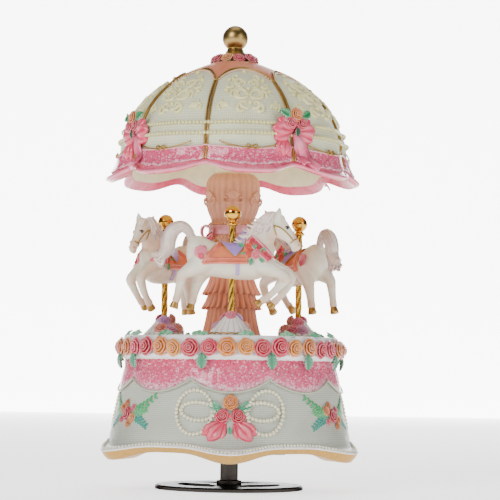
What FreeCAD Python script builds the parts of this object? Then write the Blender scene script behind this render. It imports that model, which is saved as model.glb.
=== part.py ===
import FreeCAD, Part
import os
from math import cos, degrees, hypot, pi, radians, sin
from FreeCAD import Vector

# Carousel music box. Millimetres, +Z up, origin under the foot disc's centre, -Y is the front.
# The foot stands still, and the movement inside the base turns everything above it.

# ---- driving dimensions ----
total_height = 194.3
disc_radius = 30.75
disc_thickness = 1.8
stem_radius = 3.7
cover_bottom = 17.0          # underside of the base's bottom cover
cover_thickness = 2.0
platform_z = 63.0            # top of the round platform
rim_radius = 44.8            # wall that the rim roses sit on
pole_ring = 33.0             # radius of the circle that the three poles stand on
pole_radius = 1.3
knob_radius = 3.3
knob_z = 112.0
canopy_turn = 31.0           # degrees, direction of one canopy rib
pole_angles = (-90, 30, 150)
clear = 0.05                 # running or slip clearance on a radius
out = "parts"

# ---- worked out from them ----
plate_z = cover_bottom + cover_thickness      # underside of the bedplate
bed_top = plate_z + 3.0
arbor_radius = 1.6
axle_z = bed_top + 15.7                       # height of the music cylinder's arbor
spur_distance = 9.6                           # music cylinder to governor arbor

os.makedirs(out, exist_ok=True)


# ---- helpers ----
def save(name, shape):
    shape.exportStep(f"{out}/{name}.step")


def lathe(profile):
    """Solid of revolution about Z from a closed outline of (r, z) points."""
    points = [Vector(r, 0, z) for r, z in profile]
    face = Part.Face(Part.makePolygon(points + points[:1]))
    return face.revolve(Vector(), Vector(0, 0, 1), 360)


def disc(radius, low, high, hole=0.0, x=0.0, y=0.0):
    """Upright cylinder from z=low to z=high, with an optional hole."""
    solid = Part.makeCylinder(radius, high - low, Vector(x, y, low))
    if hole:
        solid = solid.cut(Part.makeCylinder(hole, high - low + 2, Vector(x, y, low - 1)))
    return solid


def block(x0, x1, y0, y1, z0, z1):
    return Part.makeBox(x1 - x0, y1 - y0, z1 - z0, Vector(x0, y0, z0))


def bar_x(radius, x0, x1, y=0.0, z=0.0):
    """Round bar along X."""
    return Part.makeCylinder(radius, x1 - x0, Vector(x0, y, z), Vector(1, 0, 0))


def turned(shape, angle):
    """Copy of a shape turned about Z by an angle in degrees."""
    copy = shape.copy()
    copy.rotate(Vector(), Vector(0, 0, 1), angle)
    return copy


def around(shape, count, start=0.0):
    return [turned(shape, start + 360.0 * step / count) for step in range(count)]


def joined(shapes):
    return shapes[0].multiFuse(shapes[1:]).removeSplitter() if len(shapes) > 1 else shapes[0]


def on_wall(shape, angle, radius, height, tilt=0.0):
    """Copy of a shape whose +Z points outwards at a wall place; tilt lifts it in degrees."""
    copy = shape.copy()
    copy.rotate(Vector(), Vector(0, 1, 0), 90 - tilt)
    copy.translate(Vector(radius, 0, height))
    return turned(copy, angle)


def limb(stations):
    """Chain of cones with a ball at each inner joint; stations are (x, y, z, r)."""
    pieces = []
    for (x0, y0, z0, r0), (x1, y1, z1, r1) in zip(stations, stations[1:]):
        way = Vector(x1 - x0, y1 - y0, z1 - z0)
        start = Vector(x0, y0, z0)
        if abs(r0 - r1) < 0.02:
            pieces.append(Part.makeCylinder(r0, way.Length, start, way))
        else:
            pieces.append(Part.makeCone(r0, r1, way.Length, start, way))
    for x, y, z, r in stations[1:-1]:
        pieces.append(Part.makeSphere(r * 1.03, Vector(x, y, z)))
    return pieces


def oval(x, z, half_width, half_height, tilt=0.0):
    """Closed ellipse across X at a station, leaned back by tilt degrees."""
    if half_height >= half_width:
        curve = Part.Ellipse(Vector(0, 0, half_height), Vector(0, half_width, 0), Vector())
    else:
        curve = Part.Ellipse(Vector(0, half_width, 0), Vector(0, 0, -half_height), Vector())
    wire = Part.Wire([curve.toShape()])
    wire.rotate(Vector(), Vector(0, 1, 0), -tilt)
    wire.translate(Vector(x, 0, z))
    return wire


def rosette(radius, height):
    """Plain rose blank: a stepped button, its back on z=0."""
    return lathe([(0, 0), (radius, 0), (radius, 0.4 * height), (0.7 * radius, 0.85 * height),
                  (0.3 * radius, height), (0, height)])


def leaf(length, width, thickness):
    """Pointed flat leaf along +X, its back on z=0."""
    tip = Vector(length, 0, 0)
    root = Vector(0, 0, 0)
    upper = Part.Arc(root, Vector(length / 2, width / 2, 0), tip).toShape()
    lower = Part.Arc(tip, Vector(length / 2, -width / 2, 0), root).toShape()
    return Part.Face(Part.Wire([upper, lower])).extrude(Vector(0, 0, thickness))


def closed_ring(section, count, smooth=True):
    """Ring solid lofted through closed meridian sections; section(angle) gives (r, z) points."""
    wires = []
    for step in range(count):
        angle = 360.0 * step / count
        points = [Vector(r, 0, z) for r, z in section(angle)]
        wire = Part.makePolygon(points + points[:1])
        wire.rotate(Vector(), Vector(0, 0, 1), angle)
        wires.append(wire)
    return Part.makeLoft(wires, True, not smooth, True)


def gear(teeth, root, tip, root_half, tip_half, width):
    """Straight-toothed wheel about Z, one tooth centred on +X; halves are tooth half-widths."""
    points = []
    for step in range(teeth):
        angle = 2 * pi * step / teeth
        for radius, half in ((root, -root_half), (tip, -tip_half), (tip, tip_half), (root, root_half)):
            points.append(Vector(radius * cos(angle) - half * sin(angle),
                                 radius * sin(angle) + half * cos(angle), 0))
    return Part.Face(Part.makePolygon(points + points[:1])).extrude(Vector(0, 0, width))


def along_x(shape, x, y=0.0, z=0.0):
    """Copy of a shape about Z, laid along +X with its base at x; its +X turns to -Z."""
    copy = shape.copy()
    copy.rotate(Vector(), Vector(0, 1, 0), 90)
    copy.translate(Vector(x, y, z))
    return copy


# ---- foot: stands still on the table ----
def foot_disc():
    """Flat disc with three kidney windows between hub and ring."""
    plate = disc(disc_radius, 0, disc_thickness, hole=2.0)
    window_in, window_out, spoke_half = 8.0, 21.5, 24.0
    window = disc(window_out, -1, disc_thickness + 1, hole=window_in)
    for spoke in around(block(0, disc_radius, -4, 4, -2, disc_thickness + 2), 3, spoke_half):
        window = window.cut(spoke)
    edge = disc_thickness * 0.35
    rim = [e for e in plate.Edges if abs(e.BoundBox.XLength - 2 * disc_radius) < 0.1]
    return plate.makeChamfer(edge, [e for e in rim if e.BoundBox.ZMin > edge]).cut(window)


def stem_post():
    """Hollow post with a collar where it is riveted to the disc."""
    top = plate_z - 0.6
    return lathe([(arbor_radius + clear, disc_thickness), (5.2, disc_thickness), (5.2, disc_thickness + 1.6),
                  (stem_radius, disc_thickness + 2.0), (stem_radius, top), (arbor_radius + clear, top)])


def thrust_washer():
    return disc(stem_radius - 0.2, plate_z - 0.55, plate_z - clear, hole=arbor_radius + clear)


def winding_arbor():
    """Steel arbor up the stem's bore, into the barrel bridge."""
    return disc(arbor_radius, disc_thickness, bed_top + 12.8)


crown_teeth = 36
pinion_teeth = 24
crown_pitch_radius = 9.0
crown_plane = axle_z - crown_pitch_radius * pinion_teeth / crown_teeth
tooth_rise = 0.4


def drive_gear():
    """Crown gear on the arbor, teeth up, a gap on +X where the pinion meets it."""
    floor = crown_plane - 0.75
    wheel = disc(9.8, floor - 1.0, floor, hole=arbor_radius + clear)
    base_half, top_half = 0.34, 0.2
    outline = [Vector(8.2, -base_half, floor - 0.1), Vector(8.2, -top_half, crown_plane + tooth_rise),
               Vector(8.2, top_half, crown_plane + tooth_rise), Vector(8.2, base_half, floor - 0.1)]
    tooth = Part.Face(Part.makePolygon(outline + outline[:1])).extrude(Vector(1.55, 0, 0))
    return joined([wheel] + around(tooth, crown_teeth, 180.0 / crown_teeth))


# ---- base: white shell, its cover and trim ----
def corner_share(angle):
    """1 on each of the six foot corners (the front is a corner), 0 midway between them."""
    return (0.5 - 0.5 * cos(6 * radians(angle))) ** 2


def wall_radius(z):
    """Outer radius of the base wall between its lip and its neck."""
    low_z, low_r, neck_z, neck_r = 24.0, 49.4, 50.0, 43.2
    share = (z - low_z) / (neck_z - low_z)
    return low_r + (neck_r - low_r) * share - 0.6 * sin(pi * min(max(share, 0), 1)) * (1 - 2 * share)


def base_section(angle):
    k = corner_share(angle)
    edge = 16.2 - 3.8 * k                      # the lower edge arches up between the feet
    outer = [(wall_radius(z), z) for z in (30, 37, 44, 50)]
    return ([(46.2, edge + 0.6), (50.0 + 5.5 * k, edge), (51.3 + 7.2 * k, edge + 2.4 + 1.7 * k),
             (50.4 + 3.4 * k, edge + 4.6 + 1.2 * k), (49.6 + 0.9 * k, 24)] + outer
            + [(43.2, 53), (46.3, 54.6), (46.3, 56.4), (rim_radius, 56.6), (rim_radius, 62.2),
               (rim_radius - 0.8, platform_z), (1.7, platform_z), (1.7, platform_z - 4),
               (39.4, platform_z - 4), (39.8, 50), (43.0, 24), (43.0, plate_z), (45.2, plate_z),
               (45.2, edge + 1.2)])


boss_ring, boss_radius, boss_top, screw_radius = 40.0, 3.2, 31.0, 1.1
boss_angles = (60, 180, 300)


def polar(radius, angle):
    return radius * cos(radians(angle)), radius * sin(radians(angle))


def base_shell():
    shell = closed_ring(base_section, 48)
    for angle in boss_angles:
        x, y = polar(boss_ring, angle)
        boss = disc(boss_radius, plate_z, boss_top, x=x, y=y)
        strut = turned(block(boss_ring, 43.6, -boss_radius, boss_radius, plate_z, boss_top), angle)
        shell = shell.fuse(boss.fuse(strut))
        shell = shell.cut(disc(screw_radius + clear, plate_z - 1, boss_top - 3, x=x, y=y))
    return shell


def bottom_cover():
    """Round cover with the stem hole in its middle and holes for both sets of screws."""
    cover = disc(45.0, cover_bottom, plate_z, hole=stem_radius + 0.5)
    for x, y in cover_screw_places() + movement_screw_places():
        cover = cover.cut(disc(screw_radius + clear, cover_bottom - 1, plate_z + 1, x=x, y=y))
    return cover


def cover_screw_places():
    return [polar(boss_ring, angle) for angle in boss_angles]


def movement_screw_places():
    return [(-12.0, 12.0), (-12.0, -12.0), (30.0, 0.0)]


def screws(places, top):
    """Pan-head screws driven up from under the cover."""
    shapes = []
    for x, y in places:
        head = disc(2.2, cover_bottom - 1.4, cover_bottom, x=x, y=y)
        slot = block(x - 2.5, x + 2.5, y - 0.3, y + 0.3, cover_bottom - 1.5, cover_bottom - 0.8)
        shapes.append(head.fuse(disc(screw_radius, cover_bottom, top, x=x, y=y)).cut(slot))
    return Part.makeCompound(shapes)


def lace_skirt():
    """Nine swags hung round the wall, lowest at the front and every 40 degrees from it."""
    swag, thickness = 40.0, 0.9

    def section(angle):
        offset = (angle + 90 + swag / 2) % swag - swag / 2
        low = 40.3 + 5.2 * (2 * offset / swag) ** 2
        gap = 0.02
        heights = [low + (52.6 - low) * share for share in (0, 0.35, 0.7, 1)]
        inner = [(max(wall_radius(min(z, 50)), 43.2) + gap, z) for z in heights]
        return inner + [(r + thickness, z) for r, z in reversed(inner)]
    return closed_ring(section, 72, smooth=False)


def rim_roses():
    rose = on_wall(rosette(3.1, 3.0), 0, rim_radius + clear, 59.6)
    return Part.makeCompound(around(rose, 40, -90 - 2))


def rim_leaves():
    """Leaf pairs lying on the platform's edge, and dark leaves hanging under the rim."""
    flat = leaf(4.6, 2.6, 0.7)
    flat.translate(Vector(rim_radius - 2.4, 0, platform_z + clear))
    hanging = leaf(6.0, 3.4, 0.8)
    hanging.rotate(Vector(), Vector(0, 1, 0), 90)
    hanging.translate(Vector(46.4, 0, 56.2))
    return Part.makeCompound(around(flat, 16, -90 + 6) + around(hanging, 12, -90 + 15))


def bead_ring(count, radius_x, radius_z, bead):
    """Beads set on an upright oval in the YZ plane, as separate balls."""
    step = 2 * pi / count
    return [Part.makeSphere(bead, Vector(0, radius_x * cos(step * i), radius_z * sin(step * i)))
            for i in range(count)]


def pearl_bows():
    """Two beaded loops and a rose knot, on three of the base's corners."""
    z = 31.5
    shapes = []
    knot = [(-3.2, -1.0), (3.2, -1.0), (0.0, 4.6), (-5.4, -5.8), (5.4, -5.8)]
    for angle in pole_angles:
        for side in (-1, 1):
            loops = bead_ring(30, 8.4, 8.6, 0.8) + bead_ring(13, 6.0, 3.6, 0.75)
            for bead in loops:
                bead.translate(Vector(0, side * 12.8, z + 1.0))
                centre = bead.BoundBox.Center
                spread = degrees(centre.y / 49.0)
                bead.translate(Vector(wall_radius(centre.z) + 0.85, -centre.y, 0))
                shapes.append(turned(bead, angle + spread))
        for across, up in knot:
            spread = degrees(across / 49.0)
            shapes.append(on_wall(rosette(2.6, 2.4), angle + spread, wall_radius(z + up) + clear + 0.35, z + up))
    return Part.makeCompound(shapes)


def flower_sprays():
    """A rose with leafy sprigs to both sides, between the pearl bows."""
    z = 31.0
    shapes = []
    for angle in pole_angles:
        centre = angle + 60
        shapes.append(on_wall(rosette(2.6, 2.2), centre, wall_radius(z) + 0.4, z))
        for side in (-1, 1):
            for level, drop in ((1.5, 1.0), (-5.5, -1.0)):
                for step in range(3):
                    sprig = leaf(3.6, 2.0, 0.7)
                    sprig.rotate(Vector(), Vector(0, 0, 1), side * 90)
                    spread = degrees((4.4 + 4.2 * step) * side / 49.0)
                    height = z + level + drop * step
                    shapes.append(on_wall(sprig, centre + spread, wall_radius(height) + 0.5, height))
    return Part.makeCompound(shapes)


# ---- movement: everything is in the frame of the winding arbor at x=0, y=0 ----
pinion_x = crown_pitch_radius - 0.8
drum_x0, drum_x1 = 11.2, 26.0
drum_radius = 5.5
wheel_x = 27.0
tail_x = 30.0                                  # right bearing of the cylinder
worm_x = 31.2
frame_x0, frame_x1 = 23.0, 34.0
pin_rise = 0.6


def bedplate():
    """Cast plate with chamfered corners; it carries every part of the movement."""
    plate = block(-16, 36, -20, 20, plate_z, bed_top)
    upright = [e for e in plate.Edges if e.BoundBox.ZLength > 2.5]
    plate = plate.makeChamfer(4.0, upright)
    plate = plate.cut(disc(arbor_radius + clear, plate_z - 1, bed_top + 1))
    for x, y in movement_screw_places():
        plate = plate.cut(disc(screw_radius + clear, plate_z - 1, plate_z + 2.6, x=x, y=y))
    return plate


def spring_barrel():
    """Closed can round the arbor: floor, wall and lid with bearing holes."""
    low, high, wall, radius = bed_top, bed_top + 6.4, 0.6, 11.0
    hole = arbor_radius + clear
    return lathe([(hole, low), (radius, low), (radius, high), (hole, high), (hole, high - wall),
                  (radius - wall, high - wall), (radius - wall, low + wall), (hole, low + wall)])


def mainspring():
    """Flat spiral of half turns, its strip 0.35 thick."""
    inner, strip, turns, pitch = 2.4, 0.35, 7, 1.05

    def spiral(start):
        edges = []
        radius, centre = start, 0.0
        for half in range(2 * turns):
            sign = 1 if half % 2 == 0 else -1
            begin = Vector(centre + sign * radius, 0, 0)
            middle = Vector(centre, sign * radius, 0)
            end = Vector(centre - sign * radius, 0, 0)
            edges.append(Part.Arc(begin, middle, end).toShape())
            centre += sign * pitch / 2
            radius += pitch / 2
        return edges
    inside, outside = spiral(inner), spiral(inner + strip)
    first = Part.makeLine(inside[0].Vertexes[0].Point, outside[0].Vertexes[0].Point)
    last = Part.makeLine(inside[-1].Vertexes[-1].Point, outside[-1].Vertexes[-1].Point)
    wire = Part.Wire(Part.__sortEdges__(inside + outside + [first, last]))
    ribbon = Part.Face(wire).extrude(Vector(0, 0, 4.6))
    ribbon.translate(Vector(0, 0, bed_top + 0.9))
    return ribbon


bridge_low = bed_top + 11.0
bridge_high = bridge_low + 1.5


def barrel_bridge():
    """Two posts and a plate over the barrel, with the arbor's and the cylinder's bearings."""
    plate = block(-4, 7, -16, 16, bridge_low, bridge_high)
    posts = [block(-4, 4, side * 14 - 2, side * 14 + 2, bed_top, bridge_low) for side in (-1, 1)]
    lug = block(5.0, 7.0, -2.2, 2.2, bridge_high, axle_z + 2.2)
    bridge = joined([plate, lug] + posts)
    bridge = bridge.cut(disc(arbor_radius + clear, bridge_low - 1, bridge_high + 1))
    for x, y in bridge_screw_places():
        bridge = bridge.cut(disc(0.8 + clear, bridge_high - 4, bridge_high + 1, x=x, y=y))
    return bridge.cut(bar_x(0.8 + clear, 4, 8, 0, axle_z))


def bridge_screw_places():
    return [(0.0, 14.0), (0.0, -14.0)]


def cap_screws(places, seat, depth, radius=0.8):
    """Cheese-head screws driven down into a seat."""
    shapes = []
    for x, y in places:
        head = disc(radius * 1.9, seat, seat + 1.0, x=x, y=y)
        slot = block(x - 2, x + 2, y - 0.2, y + 0.2, seat + 0.5, seat + 1.1)
        shapes.append(head.fuse(disc(radius, seat - depth, seat, x=x, y=y)).cut(slot))
    return Part.makeCompound(shapes)


def music_cylinder():
    return along_x(disc(drum_radius, 0, drum_x1 - drum_x0, hole=0.8 + clear), drum_x0, 0, axle_z)


def cylinder_pins():
    """Tune pins in eighteen rows round the cylinder, spread by a fixed step."""
    rows, turn = 18, 137.5
    pitch = (drum_x1 - drum_x0 - 1.4) / (rows - 1)
    pins = []
    for index in range(3 * rows):
        pin = Part.makeCylinder(0.18, pin_rise, Vector(0, 0, drum_radius + 0.01))
        pin.rotate(Vector(), Vector(1, 0, 0), turn * index)
        pin.translate(Vector(drum_x0 + 0.7 + pitch * (index % rows), 0, axle_z))
        pins.append(pin)
    return Part.makeCompound(pins)


def cylinder_arbor():
    return bar_x(0.8, 4.6, tail_x + 1.9, 0, axle_z)


def cylinder_pinion():
    """Pinion on the crown gear; one tooth points straight down into a gap."""
    wheel = gear(pinion_teeth, 5.3, 6.0 + tooth_rise, 0.36, 0.14, 1.6)
    return along_x(wheel.cut(disc(0.8 + clear, -1, 3)), pinion_x, 0, axle_z)


def cylinder_gear():
    """Large gear that drives the governor; one tooth points at the governor arbor."""
    wheel = gear(40, 7.45, 8.3, 0.3, 0.13, 1.2)
    return along_x(wheel.cut(disc(0.8 + clear, -1, 3)), wheel_x, 0, axle_z)


def cylinder_bracket():
    """Upright bearing plate at the cylinder's far end."""
    plate = block(tail_x, tail_x + 1.4, -2.6, 2.6, bed_top, axle_z + 2.4)
    foot = block(tail_x, tail_x + 4.0, -2.6, 2.6, bed_top, bed_top + 1.2)
    return plate.fuse(foot).removeSplitter().cut(bar_x(0.8 + clear, tail_x - 1, tail_x + 3, 0, axle_z))


comb_low = axle_z - 0.4
comb_tip = -(drum_radius + pin_rise + 0.15)


def comb():
    """Steel plate with eighteen teeth, their tips just clear of the cylinder's pins."""
    rows, root_y, back_y = 18, -14.0, -20.0
    pitch = (drum_x1 - drum_x0 - 1.4) / (rows - 1)
    half = 0.3
    points = [Vector(drum_x0 - 0.2, back_y, 0), Vector(drum_x0 - 0.2, root_y, 0)]
    for row in range(rows):
        centre = drum_x0 + 0.7 + pitch * row
        points += [Vector(centre - half, root_y, 0), Vector(centre - half, comb_tip, 0),
                   Vector(centre + half, comb_tip, 0), Vector(centre + half, root_y, 0)]
    points += [Vector(drum_x1 + 0.2, root_y, 0), Vector(drum_x1 + 0.2, back_y, 0)]
    plate = Part.Face(Part.makePolygon(points + points[:1])).extrude(Vector(0, 0, 0.8))
    plate.translate(Vector(0, 0, comb_low))
    for x, y in comb_screw_places():
        plate = plate.cut(disc(0.8 + clear, comb_low - 1, comb_low + 2, x=x, y=y))
    return plate


def comb_screw_places():
    return [(14.0, -17.0), (23.0, -17.0)]


def comb_block():
    body = block(drum_x0 - 0.2, drum_x1 + 0.2, -20, -15, bed_top, comb_low)
    for x, y in comb_screw_places():
        body = body.cut(disc(0.8 + clear, comb_low - 4, comb_low + 1, x=x, y=y))
    return body


worm_wheel_radius = 3.2
worm_radius = 1.6
worm_y = spur_distance + worm_wheel_radius + worm_radius
frame_low, frame_high = axle_z - 6.0, axle_z + 8.0


def governor_frame():
    """Open cage: two cheeks for the arbor, a foot and a roof for the worm shaft."""
    cheeks = [block(x, x + 1.0, 7.6, 18.4, frame_low, frame_high + 1.0) for x in (frame_x0, frame_x1)]
    roof = block(frame_x0, frame_x1 + 1.0, 12.6, 18.4, frame_high, frame_high + 1.0)
    floor = block(frame_x0, frame_x1 + 1.0, 12.6, 18.4, frame_low, frame_low + 1.0)
    leg = block(frame_x0, frame_x1 + 1.0, 15.6, 18.4, bed_top, frame_low)
    cage = joined(cheeks + [roof, floor, leg])
    cage = cage.cut(disc(0.5 + clear, frame_low - 1, frame_high + 2, x=worm_x, y=worm_y))
    return cage.cut(bar_x(0.6 + clear, frame_x0 - 1, frame_x1 + 2, spur_distance, axle_z))


def governor_arbor():
    return bar_x(0.6, frame_x0 + 0.05, frame_x1 + 0.95, spur_distance, axle_z)


def governor_pinion():
    """Eight-leaf pinion; a gap faces the large gear's tooth."""
    wheel = gear(8, 1.08, 1.92, 0.3, 0.12, 1.2).cut(disc(0.6 + clear, -1, 3))
    return along_x(turned(wheel, 90 + 22.5), wheel_x, spur_distance, axle_z)


def worm_wheel():
    """Sixteen-tooth wheel that turns the worm; a gap faces the worm at mid height."""
    wheel = gear(16, 2.7, 3.55, 0.3, 0.13, 1.2).cut(disc(0.6 + clear, -1, 3))
    return along_x(turned(wheel, 90 + 11.25), worm_x - 0.6, spur_distance, axle_z)


def worm_shaft():
    """Shaft with a single-start thread at the wheel's height."""
    pitch = 2 * pi * worm_wheel_radius / 16
    turns = 5
    core, crest = 1.15, 1.95
    base_half, top_half = 0.26, 0.12
    low = axle_z - pitch * turns / 2
    helix = Part.makeHelix(pitch, pitch * turns, core)
    profile = Part.makePolygon([Vector(core - 0.12, 0, -base_half), Vector(crest, 0, -top_half),
                                Vector(crest, 0, top_half), Vector(core - 0.12, 0, base_half),
                                Vector(core - 0.12, 0, -base_half)])
    thread = Part.Wire(helix).makePipeShell([profile], True, True)
    thread.translate(Vector(0, 0, low))
    shaft = disc(core, low - 0.8, low + pitch * turns + 0.8).fuse(disc(0.5, frame_low + 0.1, frame_high + 0.9))
    worm = shaft.fuse(thread)
    worm.rotate(Vector(), Vector(0, 0, 1), 90)
    worm.translate(Vector(worm_x, worm_y, 0))
    return worm


def governor_fan():
    """Two-bladed air brake on the worm shaft, under the cage roof."""
    low, high = axle_z + 4.4, frame_high - 0.4
    hub = disc(1.1, low, high, hole=0.5 + clear)
    blades = block(-2.6, 2.6, -0.2, 0.2, low, high).cut(disc(0.9, low - 1, high + 1))
    fan = hub.fuse(blades)
    fan.translate(Vector(worm_x, worm_y, 0))
    return fan


# ---- column, canopy and finial ----
rod_radius = 1.5
column_top = 172.0


def column():
    """Peach column: ruffled tiers, a fluted middle and a lantern, bored for the tie rod."""
    bore = rod_radius + clear
    outline = [(bore, platform_z), (10.4, platform_z), (11.7, 64.2), (11.0, 68.0), (10.6, 74.2), (11.9, 75.0),
               (10.2, 76.4), (10.4, 80.6), (11.7, 81.4), (10.0, 82.8), (9.6, 87.6), (9.1, 90.5), (8.8, 104.0),
               (9.2, 105.5), (9.2, 109.6), (8.8, 111), (10.0, 113), (11.2, 117), (11.3, 121), (10.7, 126),
               (10.0, 130), (8.6, 134), (7.0, 137), (7.0, column_top), (bore, column_top)]
    return lathe(outline)


def column_bow():
    """Ribbon band round the column with two loops at its sides."""
    band = disc(10.0, 105.6, 109.4, hole=9.25)
    loops = [Part.makeSphere(2.2, Vector(side * 10.4, -1.5, 106.0)) for side in (-1, 1)]
    return joined([band] + loops).cut(disc(9.25, 95, 115))


def tie_rod():
    """Rod that clamps the canopy and column to the platform, with the finial on its top."""
    return disc(rod_radius, platform_z - 8.5, 183.0)


def tie_rod_nut():
    flats = [Vector(3.0 * cos(radians(60 * i)), 3.0 * sin(radians(60 * i)), platform_z - 6.8) for i in range(6)]
    nut = Part.Face(Part.makePolygon(flats + flats[:1])).extrude(Vector(0, 0, 2.4))
    washer = disc(4.5, platform_z - 4.4, platform_z - 4, hole=rod_radius + clear)
    return nut.fuse(washer).cut(disc(rod_radius + clear, platform_z - 8, platform_z - 3))


canopy_outline = [  # panel-centre radius and height, then how far a rib is drawn in and up
    (10.0, 177.3, 0.0, 0.0), (18.0, 174.0, 0.2, 0.0), (28.0, 169.0, 0.6, 0.0), (36.4, 162.3, 1.1, 0.0),
    (42.0, 155.6, 1.5, 0.0), (45.4, 148.9, 1.8, 0.2), (47.2, 143.9, 2.0, 0.4), (47.7, 139.0, 2.2, 0.8),
    (48.6, 134.2, 2.8, 1.6), (50.4, 130.6, 4.2, 2.6), (53.2, 127.4, 6.2, 3.5)]
canopy_wall = 1.8
canopy_ribs = 8
panel_turn = canopy_turn - 180 / canopy_ribs     # direction of one panel's centre


def rib_draw(angle):
    """1 at a rib and 0 at a panel's centre; a panel's centre is at angle 0."""
    return (0.5 - 0.5 * cos(canopy_ribs * radians(angle))) ** 2


def canopy_section(angle):
    draw = rib_draw(angle)
    outer = [(r - dr * draw, z + dz * draw) for r, z, dr, dz in canopy_outline]
    inner = []
    for index, (r, z) in enumerate(outer):
        r0, z0 = outer[max(index - 1, 0)]
        r1, z1 = outer[min(index + 1, len(outer) - 1)]
        length = hypot(r1 - r0, z1 - z0)
        inner.append((r + canopy_wall * (z1 - z0) / length, z - canopy_wall * (r1 - r0) / length))
    bore = rod_radius + clear
    return [(bore, 177.6)] + outer + inner[::-1] + [(7.4, column_top + 0.02), (bore, column_top + 0.02)]


def canopy_shell():
    """Eight-panelled shell, hollow underneath, turned so that its ribs stand at canopy_turn."""
    return turned(closed_ring(canopy_section, 64), panel_turn)


def canopy_bows():
    """Bow of rounded lumps, two loops, a knot and two tails, on every other rib."""
    lumps = ((0, 150.8, 49.0, 2.8), (0, 145.2, 49.8, 2.6))
    for side in (-1, 1):
        lumps += ((side * 4.6, 147.6, 49.8, 3.0), (side * 2.6, 141.4, 49.3, 2.4), (side * 3.6, 137.4, 48.7, 2.2))
    balls = [Part.makeSphere(size, Vector(r, across, up)) for across, up, r, size in lumps]
    return around(joined(balls), 4, canopy_turn)


def canopy_pearls():
    """Two round strings of pearls, as plain cords against the shell."""
    strings = []
    for height in (147.5, 143.3):
        def section(angle, height=height):
            r = 47.3 - (height - 143.9) * 0.32 - 1.9 * rib_draw(angle)
            return [(r + 0.2, height - 0.6), (r + 1.3, height - 0.6), (r + 1.3, height + 0.6),
                    (r + 0.2, height + 0.6)]
        strings.append(turned(closed_ring(section, 64), panel_turn))
    return Part.makeCompound(strings)


def finial():
    """Gold ball on a waisted neck; a blind hole takes the tie rod."""
    ball = Part.makeSphere(5.4, Vector(0, 0, total_height - 5.4))
    neck = lathe([(0, 177.65), (5.6, 177.65), (5.6, 181.4), (3.9, 182.6), (3.5, 184.0), (3.9, 185.5), (0, 185.5)])
    return ball.fuse(neck).removeSplitter().cut(disc(rod_radius + clear, 176, 183.2))


def finial_wreath():
    rose = rosette(2.5, 2.6)
    return Part.makeCompound(around(on_wall(rose, 0, 7.0, 178.6 + clear + 0.6, 35), 10, 8))


# ---- poles and horses ----
def at_pole(shape, angle):
    """Copy of a shape drawn about a pole, moved to the pole at an angle; its +X faces forward."""
    copy = shape.copy()
    copy.translate(Vector(0, -pole_ring, 0))
    return turned(copy, angle + 90)


def pole_mound():
    """Fluted cone on the outward side, roses heaped behind it, with the pole's socket."""
    cone = Part.makeCone(8.4, 2.6, 8.0, Vector(0, 0, platform_z))
    rim = disc(8.8, platform_z, platform_z + 1.0)
    heap = [Part.makeSphere(2.6, Vector(x, y, platform_z + z)) for x, y, z in
            ((-4.4, 3.4, 3.2), (4.4, 3.4, 3.2), (0, 4.6, 4.0), (-2.6, 2.0, 6.2), (2.6, 2.0, 6.2))]
    mound = cone.multiFuse([rim] + heap)
    return mound.cut(disc(pole_radius + clear, platform_z + 2, platform_z + 20))


def pole():
    return disc(pole_radius, platform_z + 2, knob_z - knob_radius + 1.2)


def knob():
    ball = Part.makeSphere(knob_radius, Vector(0, 0, knob_z))
    collar = disc(1.9, knob_z - knob_radius - 1.6, knob_z - knob_radius + 0.6)
    return ball.fuse(collar).cut(disc(pole_radius + clear, knob_z - 8, knob_z - knob_radius + 1.25))


def horse():
    """Galloping horse along +X about its pole at x=0, y=0; left side towards the column."""
    torso = Part.makeLoft([oval(-18.6, 95.0, 2.2, 2.8), oval(-16.0, 94.8, 4.6, 6.0), oval(-11.0, 94.0, 5.8, 7.6),
                           oval(-3.0, 91.9, 5.6, 6.6), oval(5.0, 91.6, 5.8, 6.8), oval(11.5, 93.6, 5.2, 7.4),
                           oval(15.6, 95.0, 3.4, 5.0), oval(17.0, 95.6, 1.8, 2.8)], True)
    neck = Part.makeLoft([oval(8.5, 97.0, 3.6, 6.6, 40), oval(12.4, 101.6, 3.0, 6.2, 40),
                          oval(15.2, 106.0, 2.6, 5.2, 35), oval(18.0, 109.6, 2.2, 3.0, 10)], True)
    head = limb([(17.4, 0, 108.8, 3.2), (21.6, 0, 105.0, 2.7), (24.8, 0, 101.0, 1.9), (26.2, 0, 99.2, 1.9)])
    pieces = [neck] + head
    for side in (-1, 1):
        pieces.append(Part.makeCone(1.1, 0.2, 4.2, Vector(16.6, side * 1.4, 110.6), Vector(0.1, side * 0.2, 1)))
    pieces += limb([(11.0, -3.2, 92.0, 3.6), (20.6, -3.6, 86.2, 2.2), (13.6, -3.8, 79.0, 1.3), (10.2, -3.8, 76.0, 1.7)])
    pieces += limb([(13.0, 3.0, 92.0, 3.6), (22.6, 3.4, 87.0, 2.2), (18.2, 3.6, 78.6, 1.4), (16.0, 3.6, 74.4, 1.8)])
    pieces += limb([(-12.5, -3.0, 91.5, 4.4), (-19.8, -3.6, 87.6, 2.2), (-22.0, -3.8, 78.6, 1.3),
                    (-22.8, -3.8, 74.0, 1.8)])
    pieces += limb([(-11.5, 3.0, 90.0, 4.4), (-13.4, 3.4, 83.0, 2.2), (-15.4, 3.6, 77.0, 1.4),
                    (-16.4, 3.6, 72.6, 1.9)])
    pieces += limb([(-16.4, 0, 98.6, 1.8), (-18.6, 0, 104.0, 2.0), (-22.6, 0, 104.6, 2.4), (-25.6, 0, 98.6, 3.0),
                    (-32.4, 0, 95.4, 1.2)])
    body = torso.multiFuse(pieces)
    return body.cut(disc(pole_radius + clear, 70, 120))


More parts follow.
